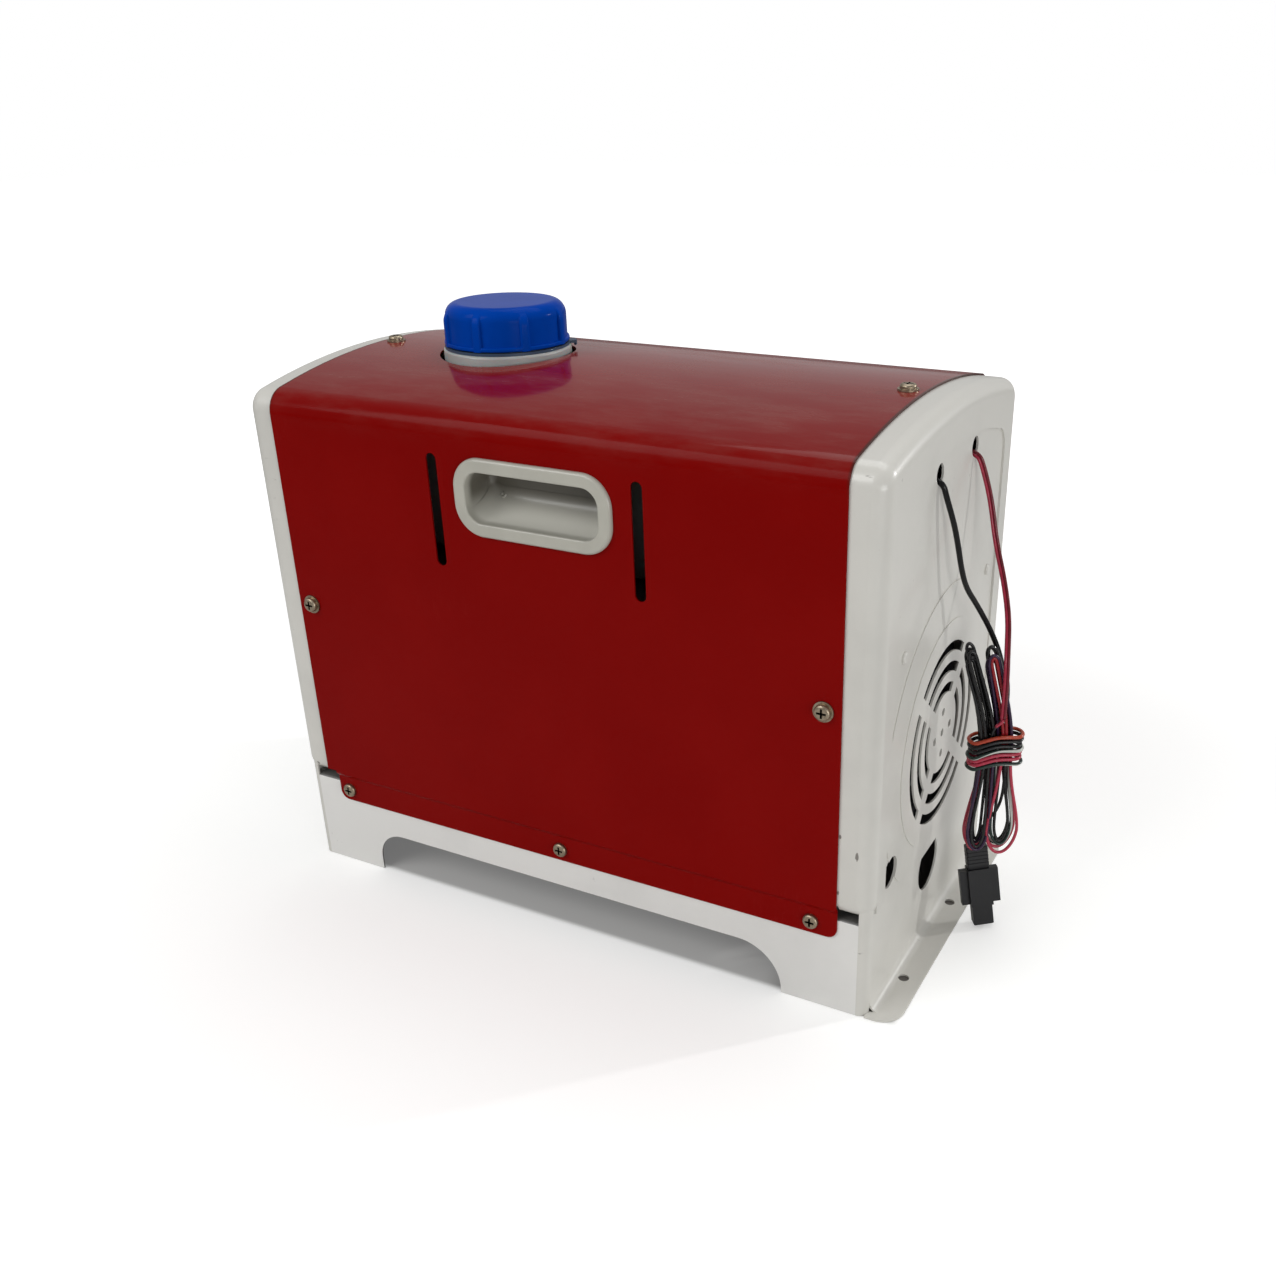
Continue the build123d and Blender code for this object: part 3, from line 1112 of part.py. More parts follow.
def outlet_hood():
    """End plate that narrows to the hot-air spigot outside the left end."""
    x2 = CASING_LEFT
    x1 = x2 - CASING_WALL
    x0 = x1 - HOOD_TAPER
    end = -END_FACE - OUTLET_REACH
    wide = CASING_HEIGHT / 2 - CASING_WALL
    hood = along_x(casing_outline(0), x1, x2) + cone_x(OUTLET_RADIUS, wide, x0, x1)
    hood += rod_x(OUTLET_RADIUS, end, x0)
    stop = -END_FACE - OUTLET_BEAD_GAP
    bead = rod_x(OUTLET_RADIUS + OUTLET_BEAD, stop - OUTLET_BEAD_LENGTH, stop)
    hood += fillet(bead.edges(), OUTLET_BEAD_ROUND)
    inner = OUTLET_RADIUS - OUTLET_WALL
    hood -= cone_x(inner, wide - OUTLET_WALL, x0, x1 + 0.001)
    hood -= rod_x(wide - OUTLET_WALL, x1, x2 + 1)
    return hood - rod_x(inner, end - 1, x0 + 0.001)


def intake_guard():
    """Open plate with rings and bars over the intake end of the casing."""
    x0, x1 = CASING_RIGHT, CASING_RIGHT + CASING_WALL
    guard = along_x(casing_outline(0), x0, x1) - rod_x(IMPELLER_RADIUS + 1, x0 - 1, x1 + 1)
    guard += rod_x(IMPELLER_HUB, x0, x1)
    ring = (IMPELLER_RADIUS + IMPELLER_HUB) / 2
    guard += tube_x(ring + GUARD_BAR / 2, ring - GUARD_BAR / 2, x0, x1)
    reach = 2 * IMPELLER_RADIUS + 6
    for turn in (0, 90):
        guard += Pos((x0 + x1) / 2, 0, GRILLE_HEIGHT) * Rot(turn, 0, 0) * Box(x1 - x0, reach, GUARD_BAR)
    return guard


def control_case():
    """Open tray of the control unit, seated on the blower housing."""
    x0, x1 = CONTROL_X, CONTROL_X + CONTROL_LENGTH
    half = CONTROL_WIDTH / 2
    top = PAD_TOP + CONTROL_HEIGHT
    tray = block(x0, x1, -half, half, PAD_TOP, top)
    w = CONTROL_WALL
    tray -= block(x0 + w, x1 - w, -half + w, half - w, PAD_TOP + w, top + 1)
    lift = PAD_TOP + BOARD_LIFT
    for x in (x0 + 2 * w, x1 - 2 * w):
        for sy in (-1, 1):
            y = sy * (half - 2 * w)
            tray += block(x - w, x + w, y - w, y + w, PAD_TOP, lift)
    return tray


def control_lid():
    """Lid over the control unit, with a hole for each lead."""
    top = PAD_TOP + CONTROL_HEIGHT
    lid = block(CONTROL_X, CONTROL_X + CONTROL_LENGTH, -CONTROL_WIDTH / 2, CONTROL_WIDTH / 2,
                top, top + CONTROL_WALL)
    for sy in (-1, 1):
        lid -= rod_z(LEAD_RADIUS + CORE_GAP, top - 1, top + 3, LEAD_EXIT_X, sy * LEAD_SPREAD / 2)
    return lid


def circuit_board():
    """Control board with its connector block, relay and capacitors."""
    w = CONTROL_WALL + CORE_GAP
    x0, x1 = CONTROL_X + w, CONTROL_X + CONTROL_LENGTH - w
    half = CONTROL_WIDTH / 2 - w
    low = PAD_TOP + BOARD_LIFT
    board = block(x0, x1, -half, half, low, low + BOARD_THICKNESS)
    z = low + BOARD_THICKNESS
    board += block(x0 + 4, x0 + 20, -22, -8, z, z + 6)
    board += block(x0 + 4, x0 + 16, 2, 22, z, z + 4)
    for y in (-20, -8, 8, 20):
        board += rod_z(3, z, z + 6.5, x0 + 30, y)
    return board


# ---------------------------------------------------------------- fuel line
def nozzle(x0, x1, y=LINE_Y, z=LINE_HEIGHT):
    """A hose nozzle along X, without its bore."""
    return rod_x(NOZZLE_RADIUS, x0, x1, y, z)


def pump_body():
    """Metering pump: round steel body with a plunger bore, a coil space and two nozzles."""
    x0, x1 = PUMP_X - PUMP_LENGTH / 2, PUMP_X + PUMP_LENGTH / 2
    body = rod_x(PUMP_RADIUS, x0, x1, LINE_Y, LINE_HEIGHT)
    body = fillet(body.edges().filter_by(GeomType.CIRCLE), PUMP_WALL)
    body += nozzle(x0 - NOZZLE_LENGTH, x1 + NOZZLE_LENGTH)
    sleeve = PLUNGER_RADIUS + PLUNGER_FIT + PUMP_WALL / 2
    body -= tube_x(PUMP_RADIUS - PUMP_WALL, sleeve, PLUNGER_X, SPRING_END, LINE_Y, LINE_HEIGHT)
    body -= rod_x(PLUNGER_RADIUS + PLUNGER_FIT, PLUNGER_X, SPRING_END, LINE_Y, LINE_HEIGHT)
    return body - rod_x(NOZZLE_BORE, x0 - NOZZLE_LENGTH - 1, x1 + NOZZLE_LENGTH + 1,
                        LINE_Y, LINE_HEIGHT)


def pump_coil():
    """Copper winding round the plunger sleeve."""
    sleeve = PLUNGER_RADIUS + PLUNGER_FIT + PUMP_WALL / 2
    return tube_x(PUMP_RADIUS - PUMP_WALL - THREAD_FIT, sleeve + THREAD_FIT,
                  PLUNGER_X, SPRING_END, LINE_Y, LINE_HEIGHT)


def pump_plunger():
    """Steel plunger, hard against the inlet end at rest."""
    return tube_x(PLUNGER_RADIUS, NOZZLE_BORE, PLUNGER_X, PLUNGER_X + PLUNGER_LENGTH,
                  LINE_Y, LINE_HEIGHT)


def pump_sleeve():
    """Rubber sleeve between the pump and its bracket."""
    half = PUMP_BAND_WIDTH / 2 + PUMP_WALL
    return tube_x(PUMP_RADIUS + PUMP_SLEEVE, PUMP_RADIUS, PUMP_X - half, PUMP_X + half,
                  LINE_Y, LINE_HEIGHT)


def pump_bracket():
    """Steel band round the sleeve on a post whose foot is screwed to the deck."""
    half = PUMP_BAND_WIDTH / 2
    inner = PUMP_RADIUS + PUMP_SLEEVE
    bracket = rod_x(inner + PUMP_BAND, PUMP_X - half, PUMP_X + half, LINE_Y, LINE_HEIGHT)
    bracket += block(PUMP_X - PUMP_BAND, PUMP_X + PUMP_BAND, LINE_Y - half, LINE_Y + half,
                     DECK_HEIGHT, LINE_HEIGHT - inner)
    bracket += block(PUMP_X + PUMP_BAND - PUMP_FOOT - half, PUMP_X + PUMP_BAND,
                     LINE_Y - half, LINE_Y + half, DECK_HEIGHT, DECK_HEIGHT + PUMP_BAND)
    bracket -= rod_x(inner, PUMP_X - half - 1, PUMP_X + half + 1, LINE_Y, LINE_HEIGHT)
    return bracket - rod_z(SCREW_SHANK + SCREW_CLEAR, 0, DECK_HEIGHT + 5,
                           PUMP_X + PUMP_FOOT_SCREW, LINE_Y)


def bracket_screw():
    """Screw through the bracket's foot into the deck."""
    return Pos(PUMP_X + PUMP_FOOT_SCREW, LINE_Y, DECK_HEIGHT + PUMP_BAND) * pan_head()


def pump_spring():
    """Return spring of the plunger, drawn as a sleeve."""
    outer = PLUNGER_RADIUS - PLUNGER_FIT
    return tube_x(outer, outer - 2 * SPRING_WIRE, SPRING_START, SPRING_END, LINE_Y, LINE_HEIGHT)


def fuel_filter():
    """In-line filter capsule with a nozzle at each end."""
    x0, x1 = FILTER_X - FILTER_LENGTH / 2, FILTER_X + FILTER_LENGTH / 2
    capsule = rod_x(FILTER_RADIUS, x0, x1, LINE_Y, LINE_HEIGHT)
    capsule = fillet(capsule.edges().filter_by(GeomType.CIRCLE), FILTER_RADIUS / 2)
    capsule -= rod_x(FILTER_RADIUS - PUMP_WALL, x0 + FILTER_RADIUS / 2, x1 - FILTER_RADIUS / 2,
                     LINE_Y, LINE_HEIGHT)
    ends = nozzle(x0 - NOZZLE_LENGTH, x0 + FILTER_RADIUS / 2)
    ends += nozzle(x1 - FILTER_RADIUS / 2, x1 + NOZZLE_LENGTH)
    capsule += ends
    return capsule - rod_x(NOZZLE_BORE, x0 - NOZZLE_LENGTH - 1, x1 + NOZZLE_LENGTH + 1,
                           LINE_Y, LINE_HEIGHT)


def corner_radii(points):
    """Arc radius at each corner: a share of its shorter run over the tangent of half the turn."""
    radii = []
    for a, b, c in zip(points, points[1:], points[2:]):
        run_in, run_out = Vector(*b) - Vector(*a), Vector(*c) - Vector(*b)
        half = math.radians(run_in.get_angle(run_out)) / 2
        radii.append(ARC_SHARE * min(run_in.length, run_out.length) / math.tan(half))
    return radii


def round_tube(points, radii, radius, bore=0.0):
    """Straight runs joined by tangent arcs, swept with a round section; returns solid and path."""
    route = FilletPolyline(*points, radius=radii)
    section = Circle(radius) - Circle(bore) if bore else Circle(radius)
    tube = sweep(Plane(origin=route @ 0, z_dir=route % 0) * section, path=route)
    return tube, route


def fuel_hoses():
    """Rubber hoses: tank to filter, filter to pump, pump to burner."""
    start = NOZZLE_LENGTH - HOSE_GRIP
    filter_in = FILTER_X - FILTER_LENGTH / 2 - start
    filter_out = FILTER_X + FILTER_LENGTH / 2 + start
    pump_in = PUMP_X - PUMP_LENGTH / 2 - start
    pump_out = PUMP_X + PUMP_LENGTH / 2 + start
    turn_x = filter_in - HOSE_GRIP - HOSE_BEND
    top = TANK_BOTTOM - start
    fall = top - LINE_HEIGHT
    drop = [(TANK_PORT_X, TANK_PORT_Y, top), (TANK_PORT_X, TANK_PORT_Y, top - fall * 0.29),
            ((TANK_PORT_X * 2 + turn_x) / 3, (TANK_PORT_Y + LINE_Y) / 2 - 6, top - fall / 2),
            (turn_x, LINE_Y, LINE_HEIGHT + fall * 0.35), (turn_x, LINE_Y, LINE_HEIGHT),
            (filter_in, LINE_Y, LINE_HEIGHT)]
    bends = [min(HOSE_BEND, radius) for radius in corner_radii(drop)]
    link = rod_x(HOSE_RADIUS, filter_out, pump_in, LINE_Y, LINE_HEIGHT)
    link -= rod_x(HOSE_BORE, filter_out - 1, pump_in + 1, LINE_Y, LINE_HEIGHT)
    pipe_y = -CASING_WIDTH / 2 - FUEL_PIPE_OUT + FUEL_PIPE_GRIP
    feed = [(pump_out, LINE_Y, LINE_HEIGHT), (FUEL_LINE_X, LINE_Y, LINE_HEIGHT),
            (FUEL_LINE_X, pipe_y, LINE_HEIGHT)]
    tank_hose = round_tube(drop, bends, HOSE_RADIUS, HOSE_BORE)[0]
    burner_hose = round_tube(feed, [FEED_BEND], HOSE_RADIUS, HOSE_BORE)[0]
    return [tank_hose, link, burner_hose]


# ---------------------------------------------------------------- wiring
Lobe = namedtuple("Lobe", "middle top_u top_z top_radius bottom_u bottom_z bottom_radius front")
LOBE_SHIFT = HANK_STEP * HANK_SLOTS
LEFT_LOBE = Lobe(HANK_OFFSET - LOBE_SHIFT, -15.5, 184.7, 2.4, -6.8, 55.6, 3.03, 1)
RIGHT_LOBE = Lobe(HANK_OFFSET + LOBE_SHIFT, 1.0, 179.4, 3.2, 8.4, 57.6, 5.0, -1)
HANK_HALF = HANK_STEP * (HANK_LAYERS - 1) / 2
TIE_REACH = HANK_HALF + STRAND_RADIUS + TIE_GAP + WRAP_RADIUS
ENTRY_HEIGHT = WAIST_HEIGHT + ENTRY_DROP
BLACK_ENTRY = HANK_HALF + STRAND_RADIUS + TIE_GAP + CORD_RADIUS + 0.2
PAIR_ENTRY = HANK_HALF + STRAND_RADIUS + TIE_GAP + PAIR_RADIUS + 0.2
HOLE_Z = WIRE_HOLE_HEIGHT - WIRE_SAG

BLACK_ROUTE = [
    (JOINT_X, -HALF_WIRES, HOLE_Z), (204.6, -30.0, 294.1), (206.4, -28.4, 284.8),
    (208.6, -22.6, 269.5), (209.6, -17.4, 255.0), (210.8, -12.7, 241.5), (212.4, -6.4, 228.6),
    (215.5, 2.8, 216.7), (219.7, 11.0, 204.4), (224.0, 15.6, 193.5), (228.6, 17.3, 182.8),
    (232.6, 17.2, 173.0)]
PAIR_ROUTE = [
    (JOINT_X, HALF_WIRES, HOLE_Z), (204.6, 30.0, 294.1), (206.8, 30.9, 284.6),
    (211.2, 33.2, 266.5), (217.2, 32.2, 243.6), (224.6, 27.8, 222.6), (233.0, 16.6, 205.8),
    (238.7, 4.8, 190.2), (236.2, 1.2, 174.6)]


def hank_point(u, w, z):
    """A point given across the hank, behind its middle and above the floor."""
    turn = math.radians(HANK_TURN)
    x = HANK_X + u * math.cos(turn) - w * math.sin(turn)
    return Vector(x, HANK_Y + u * math.sin(turn) + w * math.cos(turn), z)


def hank_direction(u, w, z):
    """A direction given across the hank, backwards and up."""
    return (hank_point(u, w, z) - hank_point(0, 0, 0)).normalized()


UP = hank_direction(0, 0, 1)
DOWN = hank_direction(0, 0, -1)
ACROSS = hank_direction(1, 0, 0)


def smooth_path(stations):
    """Lines, half turns and biarcs through points that each have a direction."""
    edges = []
    for (p0, t0), (p1, t1) in zip(stations, stations[1:]):
        chord = p1 - p0
        if chord.get_angle(t0) < 0.01:
            edges.append(Line(p0, p1))
        elif t0.dot(t1) < -0.9999 and abs(chord.dot(t0)) < 0.001:
            edges.append(TangentArc(p0, p1, tangent=t0))
        else:
            total = t0 + t1
            slack = 2 * (1 - t0.dot(t1))
            along = chord.dot(total)
            if slack < 1e-9:
                reach = chord.dot(chord) / (2 * along)
            else:
                reach = (math.sqrt(along ** 2 + slack * chord.dot(chord)) - along) / slack
            first, last = p0 + t0 * reach, p1 - t1 * reach
            middle = (first + last) * 0.5
            edges.append(TangentArc(p0, middle, tangent=t0))
            edges.append(TangentArc(middle, p1, tangent=(last - first).normalized()))
    return Wire(edges)


def slot_at_waist(lobe, side, slot, layer, up):
    """Where a wire passes the top (up=1) or bottom (up=-1) of the waist."""
    w = lobe.front * (layer - (HANK_LAYERS - 1) / 2) * HANK_STEP
    u = lobe.middle + side * (slot + 0.5) * HANK_STEP
    return hank_point(u, w, WAIST_HEIGHT + up * WAIST_REACH)


def slot_at_loop(lobe, side, slot, layer, up):
    """Where a wire enters or leaves its upper (up=1) or lower (up=-1) loop."""
    w = lobe.front * (layer - (HANK_LAYERS - 1) / 2) * HANK_STEP
    lean = math.radians(HANK_LEAN) if up > 0 else 0.0
    if up > 0:
        reach = side * (lobe.top_radius + slot * HANK_STEP)
        return hank_point(lobe.top_u + reach * math.cos(lean), w,
                          lobe.top_z + reach * math.sin(lean))
    reach = side * (lobe.bottom_radius + slot * HANK_STEP)
    return hank_point(lobe.bottom_u + reach, w, lobe.bottom_z)


def hank_loops(lobe):
    """Loops that spiral out in one layer and in again in the next, climbing along a run."""
    lean = math.radians(HANK_LEAN)
    rise = hank_direction(-math.sin(lean), 0, math.cos(lean))
    stations = [(slot_at_waist(lobe, 1, 0, 0, 1), DOWN)]

    def bottom(layer, slot_in, slot_out):
        stations.append((slot_at_waist(lobe, 1, slot_in, layer, -1), DOWN))
        stations.append((slot_at_loop(lobe, 1, slot_in, layer, -1), DOWN))
        stations.append((slot_at_loop(lobe, -1, slot_out, layer, -1), UP))
        stations.append((slot_at_waist(lobe, -1, slot_out, layer, -1), UP))

    def top(layer, slot_in, slot_out, layer_in, layer_out):
        stations.append((slot_at_waist(lobe, -1, slot_in, layer_in, 1), UP))
        stations.append((slot_at_loop(lobe, -1, slot_in, layer, 1), rise))
        stations.append((slot_at_loop(lobe, 1, slot_out, layer, 1), rise * -1))
        stations.append((slot_at_waist(lobe, 1, slot_out, layer_out, 1), DOWN))

    last = HANK_SLOTS - 1
    for pair in range(HANK_LAYERS // 2):
        outward, inward = 2 * pair, 2 * pair + 1
        for slot in range(HANK_SLOTS):
            bottom(outward, slot, slot)
            if slot < last:
                top(outward, slot, slot + 1, outward, outward)
        for slot in range(last, -1, -1):
            came = outward if slot == last else inward
            leaves = inward if slot or inward == HANK_LAYERS - 1 else inward + 1
            top(inward, slot, slot, came, leaves)
            if slot:
                bottom(inward, slot, slot - 1)
    return stations


def hank_left_path():
    """From the red and black pair, through the left loops, to the start of the tie."""
    loops = hank_loops(LEFT_LOBE)
    u = LEFT_LOBE.middle + HANK_STEP / 2
    entry = [(hank_point(u, -PAIR_ENTRY, ENTRY_HEIGHT), DOWN),
             (hank_point(u, -PAIR_ENTRY, ENTRY_HEIGHT - 2 * STRAND_RADIUS), DOWN)]
    leave = tie_start() + 2 * STRAND_RADIUS
    exit_run = [(hank_point(u, TIE_REACH, leave), DOWN),
                (hank_point(u, TIE_REACH, tie_start()), DOWN)]
    return smooth_path(entry + loops[:-1] + exit_run)


def hank_right_path():
    """From the black lead, through the right loops, to the lead that goes to the connector."""
    loops = hank_loops(RIGHT_LOBE)
    u = RIGHT_LOBE.middle + HANK_STEP / 2
    entry = [(hank_point(u, BLACK_ENTRY, ENTRY_HEIGHT), DOWN),
             (hank_point(u, BLACK_ENTRY, ENTRY_HEIGHT - 2 * STRAND_RADIUS), DOWN)]
    low = WAIST_HEIGHT - WAIST_REACH - 2 * STRAND_RADIUS
    return smooth_path(entry + loops + [(hank_point(u, -HANK_HALF, low), DOWN)])


def tie_start():
    """Height of the tie's upper end."""
    turns = WRAP_TURNS + 0.5
    return WAIST_HEIGHT + turns * WRAP_PITCH / 2 + WRAP_BEND + 2 * WRAP_RADIUS


def tie_end():
    """Height of the tie's lower end."""
    return WAIST_HEIGHT - WRAP_TURNS * WRAP_PITCH / 2 - WRAP_BEND - 2 * WRAP_RADIUS


def tie_path():
    """Round and round the waist, climbing half a pitch along each flat side."""
    side = HANK_OFFSET + HANK_STEP * (2 * HANK_SLOTS - 0.5)
    other = HANK_OFFSET - HANK_STEP * (2 * HANK_SLOTS - 0.5)
    u = LEFT_LOBE.middle + HANK_STEP / 2
    z = WAIST_HEIGHT + WRAP_TURNS * WRAP_PITCH / 2
    stations = [(hank_point(u, TIE_REACH, tie_start()), DOWN),
                (hank_point(u, TIE_REACH, z + WRAP_PITCH / 4 + WRAP_BEND), DOWN),
                (hank_point(u + WRAP_BEND, TIE_REACH, z + WRAP_PITCH / 4), ACROSS)]
    for _ in range(WRAP_TURNS):
        stations.append((hank_point(side, TIE_REACH, z), ACROSS))
        stations.append((hank_point(side, -TIE_REACH, z), ACROSS * -1))
        z -= WRAP_PITCH / 2
        stations.append((hank_point(other, -TIE_REACH, z), ACROSS * -1))
        stations.append((hank_point(other, TIE_REACH, z), ACROSS))
        z -= WRAP_PITCH / 2
    z += WRAP_PITCH / 2
    stations.append((hank_point(other + WRAP_BEND, TIE_REACH, z - WRAP_BEND), DOWN))
    stations.append((hank_point(other + WRAP_BEND, TIE_REACH, tie_end()), DOWN))
    return smooth_path(stations)


def wound_wire(name, path, radius):
    """A round wire along a path; prints the least gap between its passes, measured on points."""
    count = int(path.length)
    points = [path @ (k / count) for k in range(count + 1)]
    apart = int(math.pi * radius) + 3
    gap = min((points[i] - points[j]).length for i in range(count + 1)
              for j in range(i + apart, count + 1)) - 2 * radius
    print(name, "length", round(path.length), "least gap to itself", round(gap, 2))
    return sweep(Plane(origin=path @ 0, z_dir=path % 0) * Circle(radius), path=path)


def hank_left():
    """Left loops of the hank."""
    return wound_wire("hank_left", hank_left_path(), STRAND_RADIUS)


def hank_right():
    """Right loops of the hank."""
    return wound_wire("hank_right", hank_right_path(), STRAND_RADIUS)


def hank_tie():
    """The wire's own turns round the waist."""
    return wound_wire("hank_tie", tie_path(), WRAP_RADIUS)


def inner_leads():
    """Leads from the circuit board up through casing, tray and end face."""
    board = PAD_TOP + BOARD_LIFT + BOARD_THICKNESS
    over = GRILLE_HEIGHT + CASING_HEIGHT / 2 + LEAD_BEND
    leads = []
    for side in (-1, 1):
        y0, y1, y2 = side * LEAD_SPREAD / 2, side * LEAD_RISER_Y, side * HALF_WIRES
        points = [(LEAD_EXIT_X, y0, board), (LEAD_EXIT_X, y0, over),
                  (LEAD_RISER_X, y1, over + 5), (LEAD_RISER_X, y1, HOLE_Z - 34),
                  (LEAD_RISER_X + 6, y2, HOLE_Z), (JOINT_X, y2, HOLE_Z)]
        radii = [LEAD_BEND] * 4
        leads.append(round_tube(points, radii, LEAD_RADIUS)[0])
    return leads


def free_lead(name, route, end, radius):
    """A lead from its hole to the hank; prints its radii and its section times its length."""
    points = route + [tuple(end + Vector(0, 0, 12)), tuple(end)]
    radii = corner_radii(points)
    tube, path = round_tube(points, radii, radius)
    print(name, "length", round(path.length), "radii", [round(r, 1) for r in radii],
          "volume", round(tube.volume), "section x length",
          round(math.pi * radius ** 2 * path.length))
    return tube


def black_lead():
    """Sheathed black lead from the front hole to the hank."""
    end = hank_point(RIGHT_LOBE.middle + HANK_STEP / 2, BLACK_ENTRY, ENTRY_HEIGHT)
    return free_lead("black_lead", BLACK_ROUTE, end, CORD_RADIUS)


def red_lead():
    """Red and black pair from the rear hole to the hank."""
    end = hank_point(LEFT_LOBE.middle + HANK_STEP / 2, -PAIR_ENTRY, ENTRY_HEIGHT)
    return free_lead("red_lead", PAIR_ROUTE, end, PAIR_RADIUS)


def connector_frame():
    """Plane at the connector's lower end, with Z up its length and X across it."""
    low, high = hank_point(*CONNECTOR_LOW), hank_point(*CONNECTOR_HIGH)
    axis = (high - low).normalized()
    return Plane(origin=low, x_dir=ACROSS - axis * ACROSS.dot(axis), z_dir=axis)


def connector_length():
    """From the plug's end to the socket's end."""
    return (hank_point(*CONNECTOR_HIGH) - hank_point(*CONNECTOR_LOW)).length


def connector_plug():
    """Narrow lower part of the connector."""
    solid = block(-PLUG_WIDTH / 2, PLUG_WIDTH / 2, -CONNECTOR_THICK / 2, CONNECTOR_THICK / 2,
                  0, PLUG_LENGTH)
    return connector_frame() * chamfer(solid.edges().group_by(Axis.Z)[0], 0.8)


def connector_shroud():
    """Wide middle part of the connector, with a wing at each side."""
    low, high = PLUG_LENGTH, connector_length() - SOCKET_LENGTH
    half = CONNECTOR_THICK / 2 + 1
    solid = block(-SHROUD_CORE / 2, SHROUD_CORE / 2, -half, half, low, high)
    wing = SHROUD_WING / 2
    solid += block(-SHROUD_WIDTH / 2, SHROUD_WIDTH / 2, -wing, wing, low + 1, high - 1)
    return connector_frame() * solid


def connector_socket():
    """Narrow upper part of the connector, where the leads go in."""
    high = connector_length()
    solid = block(-SOCKET_WIDTH / 2, SOCKET_WIDTH / 2, -CONNECTOR_THICK / 2,
                  CONNECTOR_THICK / 2, high - SOCKET_LENGTH, high)
    return connector_frame() * chamfer(solid.edges().group_by(Axis.Z)[-1], 0.6)


def connector_leads():
    """Two wires from the hank down to the connector."""
    high = connector_length()
    shift = CONNECTOR_LEADS / 2
    frame = connector_frame()
    ends = [frame.from_local_coords(Vector(x, 0, high)) for x in (-shift, shift)]
    above = [frame.from_local_coords(Vector(x, 0, high + 6)) for x in (-shift, shift)]
    other = HANK_OFFSET - HANK_STEP * (2 * HANK_SLOTS - 0.5) + WRAP_BEND
    back = [hank_point(other, TIE_REACH, tie_end()), hank_point(other, TIE_REACH, tie_end() - 11),
            hank_point(-7.2, 7.6, 76.0), above[0], ends[0]]
    u = RIGHT_LOBE.middle + HANK_STEP / 2
    low = WAIST_HEIGHT - WAIST_REACH - 2 * STRAND_RADIUS
    through = [hank_point(u, -HANK_HALF, low), hank_point(u, -HANK_HALF, low - 8),
               hank_point(6.35, -2.9, 93.0), hank_point(6.8, 3.4, 84.0),
               hank_point(6.2, 8.8, 76.0), above[1], ends[1]]
    leads = []
    for route in (back, through):
        points = [tuple(point) for point in route]
        tube, path = round_tube(points, corner_radii(points), STRAND_RADIUS)
        print("connector lead length", round(path.length), "radii",
              [round(r, 1) for r in corner_radii(points)])
        leads.append(tube)
    return leads


# ---------------------------------------------------------------- parts
PARTS = {
    "base_frame": base_frame,
    "right_end_panel": right_end_panel,
    "left_end_panel": left_end_panel,
    "red_cover": red_cover,
    "front_handle": front_handle,
    "rear_handle": rear_handle,
    "panel_screws": lambda: cover_screws() + strip_screws(),
    "cover_washers": cover_washers,
    "tank_tray": tank_tray,
    "tray_rivets": tray_rivets,
    "tank_pads": tank_pads,
    "fuel_tank": fuel_tank,
    "tank_straps": tank_straps,
    "inner_screws": lambda: strap_screws() + [bracket_screw()],
    "filler_cap": filler_cap,
    "cap_seal": cap_seal,
    "tamper_ring": tamper_ring,
    "heat_exchanger": heat_exchanger,
    "mount_gasket": mount_gasket,
    "mount_nuts": mount_nuts,
    "exhaust_pipe": exhaust_pipe,
    "burner_gasket": burner_gasket,
    "burner_tube": burner_tube,
    "glow_plug": glow_plug,
    "fuel_pipe": fuel_pipe,
    "heat_sensor": heat_sensor,
    "blower_housing": blower_housing,
    "housing_bolts": housing_bolts,
    "motor_can": motor_can,
    "motor_magnets": motor_magnets,
    "shaft_bearings": shaft_bearings,
    "rotor_shaft": rotor_shaft,
    "motor_armature": motor_armature,
    "combustion_wheel": combustion_wheel,
    "intake_impeller": intake_impeller,
    "lower_casing": lower_casing,
    "upper_casing": upper_casing,
    "outlet_hood": outlet_hood,
    "intake_guard": intake_guard,
    "control_case": lambda: [control_case(), control_lid()],
    "circuit_board": circuit_board,
    "pump_body": pump_body,
    "pump_coil": pump_coil,
    "pump_plunger": pump_plunger,
    "pump_spring": pump_spring,
    "pump_sleeve": pump_sleeve,
    "pump_bracket": pump_bracket,
    "fuel_filter": fuel_filter,
    "fuel_hoses": fuel_hoses,
    "inner_leads": inner_leads,
    "black_lead": black_lead,
    "red_lead": red_lead,
    "hank_left": hank_left,
    "hank_right": hank_right,
    "hank_tie": hank_tie,
    "connector_leads": connector_leads,
    "connector_plug": connector_plug,
    "connector_shroud": connector_shroud,
    "connector_socket": connector_socket,
}

os.makedirs("parts", exist_ok=True)
for part_name, make in PARTS.items():
    made = make()
    pieces = made if isinstance(made, (list, tuple)) else [made]
    solids = [solid for piece in pieces for solid in piece.solids()]
    export_step(Compound(solids), f"parts/{part_name}.step")
    print(part_name, len(solids))
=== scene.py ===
# %% [markdown]
# # A diesel air heater in a sheet-metal case
# The solid model of the heater is loaded first. Everything below only dresses it, with
# finishes and a few pieces, in metres and in the solid model's own frame. +X points to the
# intake grille, -Y to the front, and +Z up.

# %% Load the solid model
import math
import bpy
import numpy as np
from mathutils import Matrix, Vector


